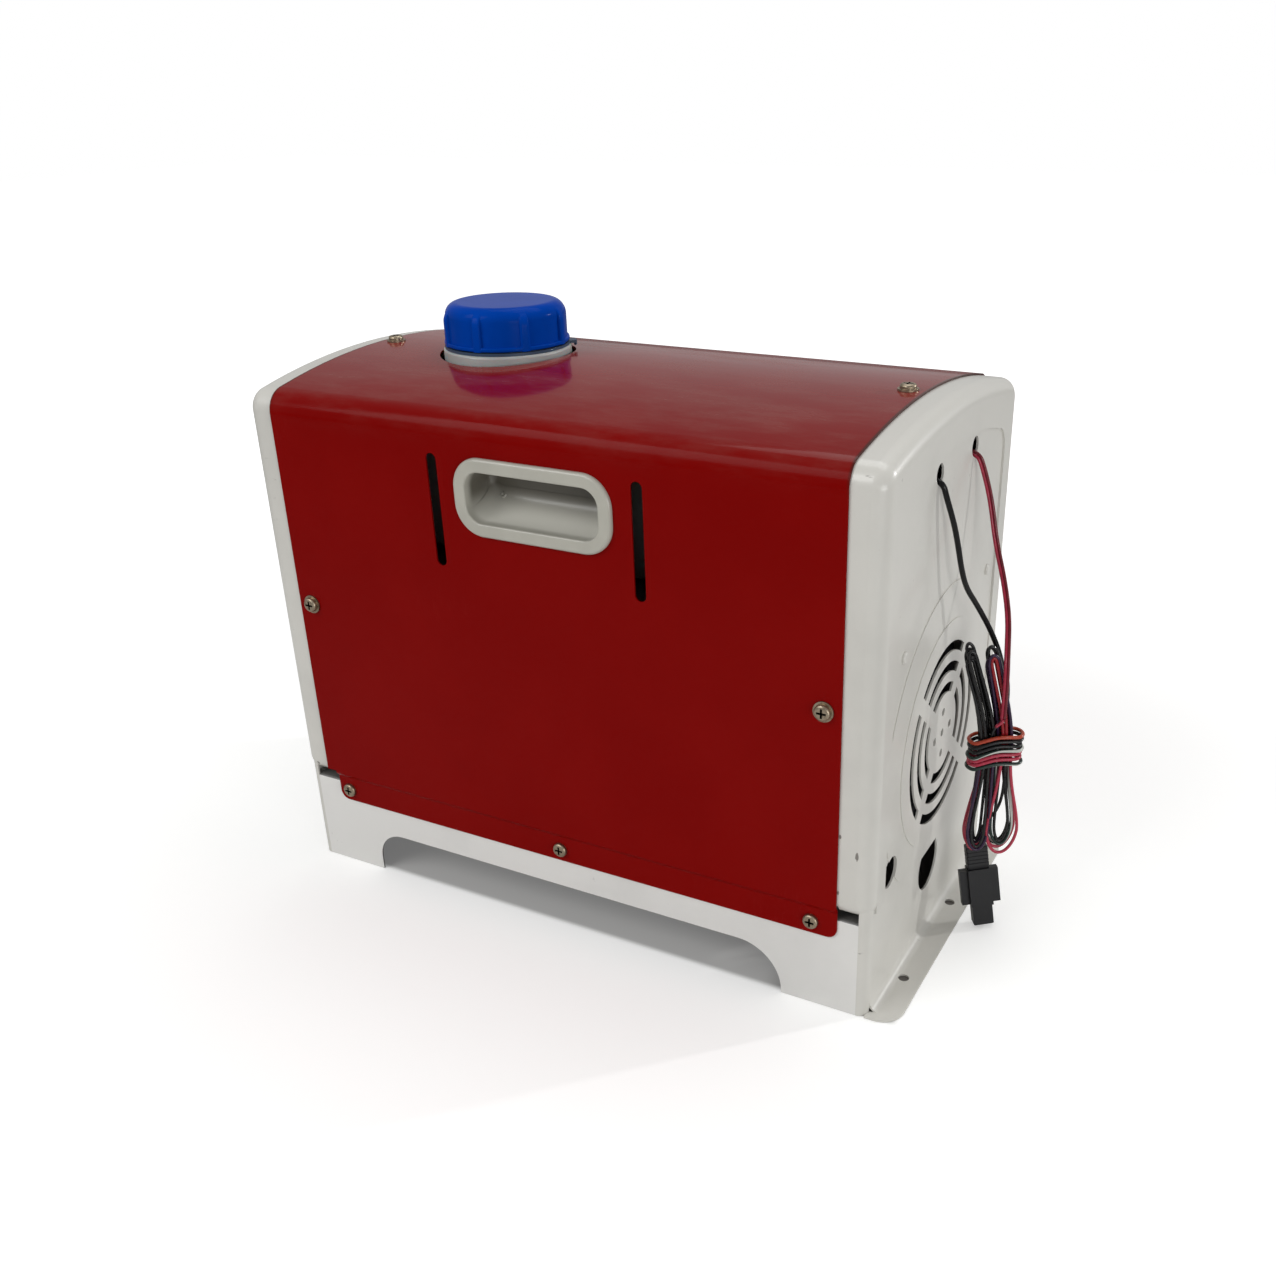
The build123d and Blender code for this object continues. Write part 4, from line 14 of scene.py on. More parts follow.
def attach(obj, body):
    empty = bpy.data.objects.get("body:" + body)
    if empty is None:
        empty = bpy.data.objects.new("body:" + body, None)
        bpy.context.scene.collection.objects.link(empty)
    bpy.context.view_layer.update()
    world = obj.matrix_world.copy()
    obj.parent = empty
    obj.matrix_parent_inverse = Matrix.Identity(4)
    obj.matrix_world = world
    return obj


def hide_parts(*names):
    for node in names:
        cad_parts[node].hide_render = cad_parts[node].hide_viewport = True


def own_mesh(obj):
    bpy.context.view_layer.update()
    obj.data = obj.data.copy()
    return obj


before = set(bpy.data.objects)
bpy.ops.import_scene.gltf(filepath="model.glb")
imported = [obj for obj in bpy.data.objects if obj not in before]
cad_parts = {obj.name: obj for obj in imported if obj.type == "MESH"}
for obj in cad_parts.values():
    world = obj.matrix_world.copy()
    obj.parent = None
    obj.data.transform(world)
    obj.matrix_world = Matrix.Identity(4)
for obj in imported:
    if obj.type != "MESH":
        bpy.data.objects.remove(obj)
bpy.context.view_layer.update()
MM = 0.001

# %% [markdown]
# ## Camera
# The camera stands where the photographer stood. It could be moved by hand until the picture
# fits, but it is more exact to solve the view from the straight edges of the case: its
# place, the three directions of its picture, its focal length and the middle of its lens in
# pixels. A lens shift moves the middle of the picture without turning the camera.

# %% Camera
PICTURE = 1276  # side of the square photograph, in pixels
FOCAL, LENS_X, LENS_Y = 1303.29, 716.47, 692.79
STAND = Vector((401.699, -663.521, 490.495)) * MM
RIGHT = Vector((0.88825242, 0.4591276, -0.01447379))
DOWN = Vector((0.18830447, -0.39268183, -0.90019021))
AHEAD = Vector((-0.41898577, 0.79687064, -0.43525636))

camera_data = bpy.data.cameras.new("camera")
camera_data.sensor_width = 36.0
camera_data.lens = FOCAL / PICTURE * camera_data.sensor_width
camera_data.shift_x = (PICTURE / 2 - LENS_X) / PICTURE
camera_data.shift_y = (LENS_Y - PICTURE / 2) / PICTURE
camera_data.clip_start, camera_data.clip_end = 0.05, 20.0
camera = bpy.data.objects.new("camera", camera_data)
turned = Matrix((RIGHT, -DOWN, -AHEAD)).transposed().to_4x4()
camera.matrix_world = Matrix.Translation(STAND) @ turned
bpy.context.scene.collection.objects.link(camera)
bpy.context.scene.camera = camera
print("lens", round(camera_data.lens, 2), "mm, shift", round(camera_data.shift_x, 4),
      round(camera_data.shift_y, 4))

# %% [markdown]
# ## Helpers for surfaces
# Leads, loops and the sweep of a pocket are all bent surfaces. They could be drawn face by
# face, but a grid of points keeps each one as a short formula: one parameter runs along it
# and one across. The helper turns such a grid into a mesh with whole-array arithmetic, and
# can join the last column to the first, for anything round.

# %% Grid to mesh
def mesh_piece(name, points, faces, uv=None, smooth=True):
    """Makes an object from points and faces; uv holds one pair for each corner of a face."""
    mesh = bpy.data.meshes.new(name)
    mesh.from_pydata(np.asarray(points).tolist(), [], [list(face) for face in faces])
    if uv is not None:
        layer = mesh.uv_layers.new(name="UVMap")
        layer.data.foreach_set("uv", np.asarray(uv, np.float32).ravel())
    mesh.polygons.foreach_set("use_smooth", [smooth] * len(mesh.polygons))
    mesh.update()
    piece = bpy.data.objects.new(name, mesh)
    bpy.context.scene.collection.objects.link(piece)
    return piece


def grid_faces(rows, columns, closed=False):
    """Quads between neighbouring rows and columns, as an array of four indices each."""
    across = columns if closed else columns - 1
    i, j = np.meshgrid(np.arange(rows - 1), np.arange(across), indexing="ij")
    k = (j + 1) % columns
    quads = np.stack([i * columns + j, i * columns + k, (i + 1) * columns + k,
                      (i + 1) * columns + j], axis=-1)
    return quads.reshape(-1, 4)


print("grid helper ready")

# %% [markdown]
# ## Leads
# Each lead is a round wire in a soft sheath. Its curve is a NURBS spline whose control
# points are the corners of the lead's route in the solid model, so it stays close to the
# tube there. A curve with a bevel would give it a skin in one step, but a mesh can also hold
# a colour for every ring. So the skin is a tube of rings square to the curve, with picture
# coordinates that run along the wire in metres and once round it, for a striped sheath.

# %% A smooth line through a route
def smooth_line(route, steps=8):
    """Points of the quadratic NURBS spline whose control points are the route's, in metres."""
    curve = bpy.data.curves.new("route", "CURVE")
    curve.dimensions = "3D"
    spline = curve.splines.new("NURBS")
    spline.points.add(len(route) - 1)
    spline.points.foreach_set("co", np.c_[np.array(route), np.ones(len(route))].ravel())
    spline.order_u = 3
    spline.use_endpoint_u = True
    spline.resolution_u = steps
    holder = bpy.data.objects.new("route", curve)
    mesh = bpy.data.meshes.new_from_object(holder)
    line = np.zeros(len(mesh.vertices) * 3)
    mesh.vertices.foreach_get("co", line)
    bpy.data.meshes.remove(mesh)
    bpy.data.objects.remove(holder)
    bpy.data.curves.remove(curve)
    return line.reshape(-1, 3)


def run_length(line):
    """Distance along the line to each of its points."""
    return np.r_[0.0, np.cumsum(np.linalg.norm(np.diff(line, axis=0), axis=1))]


# %% A wire along a line
def wire_piece(name, line, radius, upright, sides=12, tints=None):
    """Ring k is centre + radius * (cos t * a + sin t * b), with a and b square to the line.

    a is the part of upright that is square to the line, and b = tangent x a.
    """
    ahead = np.gradient(line, axis=0)
    ahead /= np.linalg.norm(ahead, axis=1)[:, None]
    up = np.array(upright, float) - (ahead @ np.array(upright, float))[:, None] * ahead
    up /= np.linalg.norm(up, axis=1)[:, None]
    side = np.cross(ahead, up)
    turn = np.linspace(0, 2 * np.pi, sides, endpoint=False)
    ring = np.cos(turn)[None, :, None] * up[:, None] + np.sin(turn)[None, :, None] * side[:, None]
    points = (line[:, None] + radius * ring).reshape(-1, 3)
    quads = grid_faces(len(line), sides, closed=True)
    along = run_length(line)
    row, column = quads // sides, quads % sides
    wrap = (column == 0) & (np.arange(4) % 3 != 0)[None, :]
    uv = np.stack([along[row], (column + wrap * sides) / sides], axis=-1).reshape(-1, 2)
    last = (len(line) - 1) * sides
    caps = [list(range(sides))[::-1], list(range(last, last + sides))]
    ends = np.r_[np.zeros((sides, 2)), np.c_[np.full(sides, along[-1]), np.zeros(sides)]]
    piece = mesh_piece(name, points, quads.tolist() + caps, np.r_[uv, ends])
    if tints is not None:
        layer = piece.data.color_attributes.new("tint", "FLOAT_COLOR", "POINT")
        layer.data.foreach_set("color", np.repeat(tints, sides, axis=0).astype(np.float32).ravel())
    return piece


# %% [markdown]
# The hank hangs at an angle to the case, so it has its own frame: u across it, w behind its
# middle and z up from the floor. The free leads leave the two holes at the top of the end
# face and run down to it. A lobe has two end loops. Each gives its centre, the half axes of
# its innermost turn and how much a turn grows from slot to slot.

# %% Frame of the hank
HANK_X, HANK_Y, HANK_TURN = 231.9, 7.8, math.radians(29.2)
HANK_STEP, STRAND, WRAP = 2.52, 0.95, 1.1  # step between wires, wire radii in lobe and tie
WAIST, WAIST_REACH = 126.0, 15.0  # height of the middle of the waist, and half its length
ENTRY = 153.0  # height where the leads come in
HANK_HALF = 1.5 * HANK_STEP
MIDDLE = 0.6  # where the middle of the waist lies across the hank
SHEATH, PAIR = 1.6, 1.4  # radii of the black lead, and of the pair taken together
LEAD_GAP = 0.5
ACROSS = np.array([math.cos(HANK_TURN), math.sin(HANK_TURN), 0.0])
BEHIND = np.array([-math.sin(HANK_TURN), math.cos(HANK_TURN), 0.0])


def at_hank(u, w, z):
    """A point given across the hank, behind its middle and above the floor, in millimetres."""
    return np.array([HANK_X, HANK_Y, z]) + u * ACROSS + w * BEHIND


LEFT = dict(middle=MIDDLE - 2 * HANK_STEP, front=1,
            top=dict(u=-17.6, z=186.4, wide=1.5, tall=5.0, slot=1.5),
            low=dict(u=-6.8, z=74.5, wide=6.4, tall=16.6, slot=2.3))
RIGHT_SIDE = dict(middle=MIDDLE + 2 * HANK_STEP, front=-1,
                  top=dict(u=-5.2, z=184.6, wide=1.9, tall=5.6, slot=1.6),
                  low=dict(u=7.2, z=76.5, wide=8.3, tall=18.8, slot=2.3))
black_end = at_hank(RIGHT_SIDE["middle"] + HANK_STEP / 2,
                    HANK_HALF + STRAND + LEAD_GAP + SHEATH, ENTRY)
pair_end = at_hank(2.2, -(HANK_HALF + STRAND + LEAD_GAP + PAIR), ENTRY - 5)
print("leads meet the hank at", black_end.round(1), pair_end.round(1))

# %% Free leads
UP = np.array([0.0, 0.0, 1.0])
BLACK_ROUTE = [
    (197.0, -30.0, 294.1), (203.0, -30.7, 294.1), (205.2, -28.9, 284.8), (208.2, -22.8, 269.5),
    (209.7, -17.3, 255.0), (210.8, -12.7, 241.5), (212.3, -6.4, 228.6), (215.8, 2.9, 216.7),
    (219.7, 11.0, 204.4), (223.8, 15.4, 193.5), (228.0, 17.0, 182.8), (231.0, 16.4, 173.0),
    tuple(black_end + 12 * UP), tuple(black_end)]
PAIR_ROUTE = [
    (197.0, 30.0, 294.1), (203.4, 29.4, 294.2), (206.9, 31.0, 284.6), (211.7, 33.4, 266.5),
    (216.6, 31.9, 243.6), (224.4, 27.7, 222.6), (231.8, 16.0, 205.8), (236.0, 3.4, 190.2),
    (237.4, 1.2, 174.6), tuple(pair_end + 12 * UP), tuple(pair_end)]

black_line = smooth_line(np.array(BLACK_ROUTE) * MM)
black_lead = wire_piece("black_lead_sheath", black_line, SHEATH * MM, (0.3, 1.0, 0.0))
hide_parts("black_lead")
print("black lead", round(run_length(black_line)[-1] * 1000), "mm")

# %% [markdown]
# The other lead is a flat pair: a crimson wire and a darker one that lie side by side. One
# flat tube in two colours could stand for it, but two wires on the same route, each moved
# half a wire to its own side, also show the groove between them.

# %% Pair of wires
HALF_PAIR, PAIR_WIRE = 0.85, 0.92
FLAT_SIDE = np.array([0.42, -0.80, 0.44])  # the flat side of the pair faces this way
pair_line = smooth_line(np.array(PAIR_ROUTE) * MM)
sideways = np.cross(np.gradient(pair_line, axis=0), FLAT_SIDE)
sideways /= np.linalg.norm(sideways, axis=1)[:, None]
pair = []
for wire_name, shift, slot_name in (("pair_crimson_wire", -1, "cable_red"),
                                    ("pair_dark_wire", 1, "cable_black")):
    line = pair_line - shift * HALF_PAIR * MM * sideways
    wire = wire_piece(wire_name, line, PAIR_WIRE * MM, (0.3, 1.0, 0.0))
    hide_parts("red_lead")
    pair.append(wire)
print("pair", round(run_length(pair_line)[-1] * 1000), "mm")

# %% [markdown]
# ## The hank
# The spare length of the leads is folded into long loops and tied round its waist with its
# own last turns. A rope simulation could drop such a bundle, but hardly with these loops, so
# the passes are listed in the order of a spiral: the wire goes round in the first layer from
# the inside out, and comes back in the next from the outside in. Above and below the tie the
# loops open a little and differ in length, as nothing holds them there.

# %% Control points of one lobe
LEAN = math.radians(10.0)  # how far the upper loops lean over
ARC_POINTS = 7


def half_turn(lobe, up, layer, start, stop, sag):
    """Points round one end loop: half an ellipse whose size goes evenly from slot to slot.

    A control point of a quadratic spline lies outside the arc that it makes, by one over
    the cosine of half the step between two points.
    """
    loop = lobe["top"] if up > 0 else lobe["low"]
    first = math.pi if up > 0 else 0.0
    angles = first - np.linspace(0, math.pi, ARC_POINTS)
    size = np.linspace(start, stop, ARC_POINTS) * loop["slot"] - sag[2]
    swell = np.full(ARC_POINTS, 1 / math.cos(math.pi / (ARC_POINTS - 1) / 2))
    swell[[0, -1]] = 1.0
    u = (loop["wide"] + size) * swell * np.cos(angles)
    z = (loop["tall"] + size) * swell * np.sin(angles)
    lean = LEAN if up > 0 else 0.0
    w = lobe["front"] * (layer - 1.5) * HANK_STEP
    centre_u, centre_z = loop["u"] + sag[0], loop["z"] + sag[1]
    return [at_hank(centre_u + a * math.cos(lean) - b * math.sin(lean), w,
                    centre_z + a * math.sin(lean) + b * math.cos(lean)) for a, b in zip(u, z)]


def through_waist(lobe, side, slot, layer, up):
    """Where a wire passes the upper or lower edge of the tied waist."""
    w = lobe["front"] * (layer - 1.5) * HANK_STEP
    return at_hank(lobe["middle"] + side * (slot + 0.5) * HANK_STEP, w, WAIST + up * WAIST_REACH)


# %% Order of the passes
# For each layer of the upper (1) and lower (-1) loops: shift across, shift up, and shrink.
SAGS = {1: ((0.0, -2.0, 0.0), (1.2, -7.5, -0.2), (-0.6, 1.0, 0.1), (0.8, -4.0, 0.3)),
        -1: ((0.4, 0.6, 2.3), (-0.5, 0.2, 0.4), (0.8, 1.2, 4.0), (0.0, -0.4, 0.0))}


def lobe_points(lobe):
    """Every control point of a lobe in order; a code is positive above the waist."""
    points, codes = [], []

    def add(new, code):
        points.extend(new)
        codes.extend([code] * len(new))

    def turn_low(layer, slot_in, slot_out):
        code = -(10 + slot_in + 4 * (layer % 2))
        add([through_waist(lobe, 1, slot_in, layer, -1)], code)
        add(half_turn(lobe, -1, layer, slot_in, slot_out, SAGS[-1][layer]), code)
        add([through_waist(lobe, -1, slot_out, layer, -1)], code)

    def turn_high(layer, slot_in, slot_out, layer_in, layer_out):
        code = 10 + slot_in + 4 * (layer % 2)
        add([through_waist(lobe, -1, slot_in, layer_in, 1)], code)
        add(half_turn(lobe, 1, layer, slot_in, slot_out, SAGS[1][layer]), code)
        add([through_waist(lobe, 1, slot_out, layer_out, 1)], code)

    add([through_waist(lobe, 1, 0, 0, 1)], 10)
    for outward in (0, 2):
        inward = outward + 1
        turn_low(outward, 0, 0)
        turn_high(outward, 0, 1, outward, outward)
        turn_low(outward, 1, 1)
        turn_high(inward, 1, 1, outward, inward)
        turn_low(inward, 1, 0)
        turn_high(inward, 0, 0, inward, min(inward + 1, 3))
    return points, codes


print("left lobe has", len(lobe_points(LEFT)[0]), "control points")

# %% [markdown]
# In the photograph the loops of a lobe differ in colour. Separate loops could each have a
# material of their own, but then the wire would be cut, so one wire carries its colours on
# its rings. The code of a control point says which pass it belongs to (9 is the free lead),
# and a colour changes only under the tie, where no eye sees it. The fourth number of a colour
# is 1 for a striped sheath.

# %% Sheath colours
INK = (0.008, 0.008, 0.009, 0.0)
PLUM = (0.028, 0.010, 0.040, 0.0)
ROSE = (0.44, 0.035, 0.070, 0.0)
RED = (0.30, 0.012, 0.018, 0.0)
EMBER = (0.42, 0.050, 0.020, 0.0)
LEAF = (0.012, 0.030, 0.024, 1.0)
COLOURS = {
    "left": {9: ROSE, 10: INK, 11: INK, 14: INK, 15: INK, -10: INK, -11: PLUM, -14: RED, -15: ROSE},
    "right": {9: INK, 10: INK, 11: INK, 14: RED, 15: PLUM, -10: INK, -11: LEAF, -14: PLUM, -15: ROSE},
}


def tints_along(line, control, codes, colours):
    """Colour of each point of a line: that of the nearest control point along the wire."""
    reach = run_length(np.array(control))
    here = run_length(line)
    here = here * reach[-1] / here[-1]
    middles = (reach[1:] + reach[:-1]) / 2
    table = np.array([colours[code] for code in codes])
    return table[np.searchsorted(middles, here)]


def hank_wire(name, node, lobe, colours, before, after, exit_point):
    """One lobe as a single wire, from its free lead to what follows it."""
    points, codes = lobe_points(lobe)
    points = before + points + after
    codes = [9] * len(before) + codes + [10] * len(after)
    control = np.array(points) * MM
    line = smooth_line(control, steps=5)
    tints = tints_along(line, control, codes, colours)
    wire = wire_piece(name, line, STRAND * MM, BEHIND, tints=tints)
    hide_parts(node)
    print(name, round(run_length(line)[-1] * 1000), "mm,", len(line), "rings")
    return wire


# %% Two lobes
WRAP_TURNS, WRAP_PITCH, WRAP_BEND = 7, 2.9, 2.4
TIE_REACH = HANK_HALF + STRAND + 0.3 + WRAP
TIE_START = WAIST + (WRAP_TURNS + 0.5) * WRAP_PITCH / 2 + WRAP_BEND + 2 * WRAP
TIE_END = WAIST - WRAP_TURNS * WRAP_PITCH / 2 - WRAP_BEND - 2 * WRAP
left_u = LEFT["middle"] + HANK_STEP / 2
right_u = RIGHT_SIDE["middle"] + HANK_STEP / 2

left_wire = hank_wire(
    "hank_left_wire", "hank_left", LEFT, COLOURS["left"],
    [pair_end, pair_end - 2 * STRAND * UP],
    [at_hank(left_u, TIE_REACH, TIE_START + 2 * STRAND), at_hank(left_u, TIE_REACH, TIE_START)],
    pair_end * MM)
right_wire = hank_wire(
    "hank_right_wire", "hank_right", RIGHT_SIDE, COLOURS["right"],
    [black_end, black_end - 2 * STRAND * UP],
    [at_hank(right_u, -HANK_HALF, WAIST - WAIST_REACH - 2 * STRAND)],
    black_end * MM)

# %% [markdown]
# The tie is the last of the wire, wound round the waist and not quite even. Plain rings
# would be easier, but they would show no slope and no end. So it is one line like a flat
# racetrack: each turn has two straight flats and two half circles, goes down by a little
# more than a wire, and droops by its own amount.

# %% Tie
TIE_ARC_STEPS = 5
TIE_DROOP = ((2.6, 0.4), (3.0, 0.2), (3.4, 0.9), (3.8, 0.5), (3.2, 0.0), (2.8, 0.3), (2.2, 0.6))


def tie_points():
    """Racetrack turns: flats on both faces of the hank, and half circles round its edges."""
    side, other = MIDDLE + 3.5 * HANK_STEP, MIDDLE - 3.5 * HANK_STEP
    z = WAIST + WRAP_TURNS * WRAP_PITCH / 2
    points = [at_hank(left_u, TIE_REACH, TIE_START),
              at_hank(left_u, TIE_REACH, z + WRAP_PITCH / 4 + WRAP_BEND * 0.6),
              at_hank(left_u + WRAP_BEND * 0.5, TIE_REACH, z + WRAP_PITCH / 4)]
    swell = 1 / math.cos(math.pi / TIE_ARC_STEPS / 2)
    for turn in range(WRAP_TURNS):
        loose = 0.10 * math.sin(2.3 * turn + 0.6)
        for middle, first in ((side, math.pi / 2), (other, -math.pi / 2)):
            for k in range(TIE_ARC_STEPS + 1):
                angle = first - k * math.pi / TIE_ARC_STEPS
                inner = 0 < k < TIE_ARC_STEPS
                reach = TIE_REACH * (swell * (1.05 + loose) if inner else 1.0)
                droop = TIE_DROOP[turn][0 if middle < 0 else 1] * (1.0 if inner else 0.4)
                points.append(at_hank(middle + reach * math.cos(angle), reach * math.sin(angle),
                                      z - droop))
            z -= WRAP_PITCH / 2
            if middle > 0:
                points.append(at_hank(MIDDLE, -TIE_REACH * 1.02, z + WRAP_PITCH / 4 + 0.9))
    z += WRAP_PITCH / 2
    points.append(at_hank(other + WRAP_BEND, TIE_REACH, z - WRAP_BEND))
    points.append(at_hank(other + WRAP_BEND, TIE_REACH, TIE_END))
    return points


TIE_COLOURS = [EMBER, INK, INK, LEAF, ROSE, ROSE, LEAF]
tie_control = np.array(tie_points()) * MM
tie_line = smooth_line(tie_control, steps=5)
tie_share = run_length(tie_line) / run_length(tie_line)[-1]
turn_of = np.clip(tie_share * (WRAP_TURNS + 0.25) - 0.12, 0, WRAP_TURNS - 1).astype(int)
tie_wire = wire_piece("hank_tie_wire", tie_line, WRAP * MM, UP,
                      tints=np.array(TIE_COLOURS)[turn_of])
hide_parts("hank_tie")
print("tie", round(run_length(tie_line)[-1] * 1000), "mm")

# %% [markdown]
# Two wires leave the hank below the tie and go down to the connector: one from the tie's
# last turn, and one through the opening of the right lobe. The connector leans, so what
# belongs to it is given along its own axis.

# %% Wires to the connector
connector_low, connector_high = at_hank(3.0, 0.8, 1.5), at_hank(-4.3, 10.7, 60.2)
plug_axis = (connector_high - connector_low) / np.linalg.norm(connector_high - connector_low)
plug_across = ACROSS - plug_axis * (ACROSS @ plug_axis)
plug_across /= np.linalg.norm(plug_across)
GRIP_TOP, HALF_APART = 53.0, 3
socket_top = connector_low + GRIP_TOP * plug_axis
left_end = socket_top - HALF_APART * plug_across
right_end = socket_top + HALF_APART * plug_across
TAIL_ROUTES = {
    "connector_wire_left": [
        at_hank(MIDDLE - 3.5 * HANK_STEP + WRAP_BEND, TIE_REACH, TIE_END),
        at_hank(MIDDLE - 3.5 * HANK_STEP + WRAP_BEND, TIE_REACH, TIE_END - 11),
        at_hank(-7.2, 7.6, 76.0), left_end + 9 * plug_axis, left_end],
    "connector_wire_right": [
        at_hank(right_u, -HANK_HALF, WAIST - WAIST_REACH - 2 * STRAND),
        at_hank(right_u, -HANK_HALF, WAIST - WAIST_REACH - 2 * STRAND - 8),
        at_hank(6.35, -2.9, 93.0), at_hank(6.8, 3.4, 84.0), at_hank(6.2, 8.8, 76.0),
        right_end + 10 * plug_axis, right_end]}

# %% [markdown]
# The upper end of the connector is a moulded grip with finger ribs. The ribs could be cut
# from a block one by one. Rounded rectangles, wider for a rib than for a groove and stacked
# along the axis, give the same steps without a cut.

# %% Upper end of the connector
def connector_point(across, out, along):
    """A point in the connector's own frame, in millimetres from the middle of its lower end."""
    plug_out = np.cross(plug_axis, plug_across)
    return connector_low + across * plug_across + out * plug_out + along * plug_axis


def rounded_loop(half_wide, half_deep, corner, count=5):
    """Points round a rectangle with rounded corners, as pairs across and out."""
    loop = []
    for cx, cy, start in ((1, 1, 0), (-1, 1, 90), (-1, -1, 180), (1, -1, 270)):
        for k in range(count):
            angle = math.radians(start + 90 * k / (count - 1))
            loop.append((cx * (half_wide - corner) + corner * math.cos(angle),
                         cy * (half_deep - corner) + corner * math.sin(angle)))
    return loop


def stepped_block(name, levels):
    """Stacks rounded rectangles: each level is a height, half sizes and a corner radius."""
    rings = [[connector_point(a, b, along) for a, b in rounded_loop(wide, deep, corner)]
             for along, wide, deep, corner in levels]
    columns = len(rings[0])
    quads = grid_faces(len(rings), columns, closed=True).tolist()
    last = (len(rings) - 1) * columns
    caps = [list(range(columns))[::-1], list(range(last, last + columns))]
    return mesh_piece(name, np.concatenate(rings) * MM, quads + caps, smooth=False)


RIB = (6.75, 4.0, 0.9)  # half width, half depth and corner radius
GROOVE = (6.35, 3.7, 0.8)
CONNECTOR_LEVELS = []
for low in (36.0, 40.6, 43.0, 45.4, 47.8):
    CONNECTOR_LEVELS += [(low, *RIB), (low + 1.5, *RIB),
                         (low + 1.7, *GROOVE), (low + 2.2, *GROOVE)]
CONNECTOR_LEVELS += [(50.2, *RIB), (52.6, *RIB), (GRIP_TOP, 6.35, 3.6, 0.7)]
socket_block = stepped_block("connector_grip", CONNECTOR_LEVELS)
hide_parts("connector_socket")
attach(socket_block, "heater")
print("connector grip has", len(socket_block.data.polygons), "faces")

# %% Wires into the connector
tails = []
for wire_name, route in TAIL_ROUTES.items():
    line = smooth_line(np.array(route) * MM)
    wire = wire_piece(wire_name, line, STRAND * MM, ACROSS)
    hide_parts("connector_leads")
    tails.append(wire)
wires = [black_lead, *pair, left_wire, right_wire, tie_wire, *tails]
for wire in wires:
    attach(wire, "heater")
print("wires", len(wires))

# %% [markdown]
# ## Hand pockets
# Fingers reach under the bar of each handle into a moulded pocket. Its floor sweeps up into
# its back in one wide curve, a quarter of an ellipse, and lifts at both ends. A bevelled
# box would have a quarter circle there, but light runs over this sweep in a wide band. On
# the back is a gate mark where the plastic flowed in: a dome with a dimple.

# %% Pocket floors
POCKET_HALF, POCKET_FRONT, POCKET_LOW = 42.6, 107.5, 262.6
SWEEP_DEEP, SWEEP_TALL = 20.4, 15.0
END_START, END_LENGTH, END_LIFT = 33.0, 9.6, 9.0
FLOOR_ROWS, FLOOR_COLUMNS = 25, 43


def moulded_grid(name, points, closed=False):
    """A white moulded piece from a grid of points in millimetres."""
    rows, columns = points.shape[:2]
    piece = mesh_piece(name, points.reshape(-1, 3) * MM,
                       grid_faces(rows, columns, closed).tolist())
    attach(piece, "heater")
    return piece


def pocket_floor(name, side):
    """y = front - deep sin t and z = low + tall (1 - cos t) + lift (1 - sqrt(1 - 0.96 e^2)).

    t goes from 0 to a quarter turn, and e from 0 to 1 over the last stretch at both ends.
    """
    turn = np.linspace(0, np.pi / 2, FLOOR_ROWS)
    x = np.linspace(-POCKET_HALF, POCKET_HALF, FLOOR_COLUMNS)
    ends = np.clip((np.abs(x) - END_START) / END_LENGTH, 0, 1)
    lift = END_LIFT * (1 - np.sqrt(1 - 0.96 * ends ** 2))
    points = np.empty((FLOOR_ROWS, FLOOR_COLUMNS, 3))
    points[..., 0] = x[None, :]
    points[..., 1] = side * (POCKET_FRONT - SWEEP_DEEP * np.sin(turn))[:, None]
    points[..., 2] = (POCKET_LOW + SWEEP_TALL * (1 - np.cos(turn)))[:, None] + lift[None, :]
    return moulded_grid(name, points)


# %% Gate marks
MARK_X, MARK_Y, MARK_Z, MARK_RADIUS = 34.7, 88.2, 272.6, 2.2
MARK_TILT = math.atan2(6.8, 14.1)  # how far the sweep faces up at the mark


def gate_mark(name, side):
    """A dome over a disc: height = 1.4 (1 - r^2 / R^2) - 1.7 exp(-(r / 0.8)^2) - 0.1."""
    reach = np.linspace(0.05, MARK_RADIUS, 16)
    turn = np.linspace(0, 2 * np.pi, 24, endpoint=False)
    dome = 1.4 * (1 - (reach / MARK_RADIUS) ** 2)
    height = dome - 1.7 * np.exp(-(reach / 0.8) ** 2) - 0.1
    foot = np.array([side * MARK_X, side * MARK_Y, MARK_Z])
    normal = np.array([0.0, side * math.cos(MARK_TILT), math.sin(MARK_TILT)])
    rise = np.array([0.0, -side * math.sin(MARK_TILT), math.cos(MARK_TILT)])
    across = np.array([1.0, 0.0, 0.0])
    flat = np.cos(turn)[:, None] * across + np.sin(turn)[:, None] * rise
    points = foot + reach[:, None, None] * flat[None] + height[:, None, None] * normal
    return moulded_grid(name, points, closed=True)


pockets = [pocket_floor("front_pocket_floor", -1), pocket_floor("rear_pocket_floor", 1),
           gate_mark("front_gate_mark", -1), gate_mark("rear_gate_mark", 1)]
print("pocket pieces", len(pockets))

# %% [markdown]
# ## Pump spring
# The return spring of the metering pump is a round wire in nine turns. A screw modifier
# could wind it, but the wire helper is here already and gives a plain mesh. In the pump the
# spring shortens with the plunger.

# %% Return spring
def coil_line(start, end, radius, turns, y, z):
    """x goes evenly from start to end; y and z go round a circle: radius * (cos t, sin t)."""
    t = np.linspace(0, 2 * np.pi * turns, turns * 20 + 1)
    x = np.linspace(start, end, len(t))
    return np.stack([x, y + radius * np.cos(t), z + radius * np.sin(t)], axis=-1) * MM


SPRING_START, SPRING_END, PUMP_Y, PUMP_Z, STROKE = -31.0, -11.0, -86.5, 120.0, 3.0
SPRING_WIRE, SPRING_RADIUS, SPRING_TURNS, END_ROOM = 0.45, 4.4, 9, 0.6
spring_line = coil_line(SPRING_START + END_ROOM, SPRING_END - END_ROOM, SPRING_RADIUS,
                        SPRING_TURNS, PUMP_Y, PUMP_Z)
spring = wire_piece("pump_return_spring", spring_line, SPRING_WIRE * MM, (1.0, 0.0, 0.0),
                    sides=8)
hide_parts("pump_spring")
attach(spring, "heater")
print("spring has", len(spring.data.polygons), "faces")

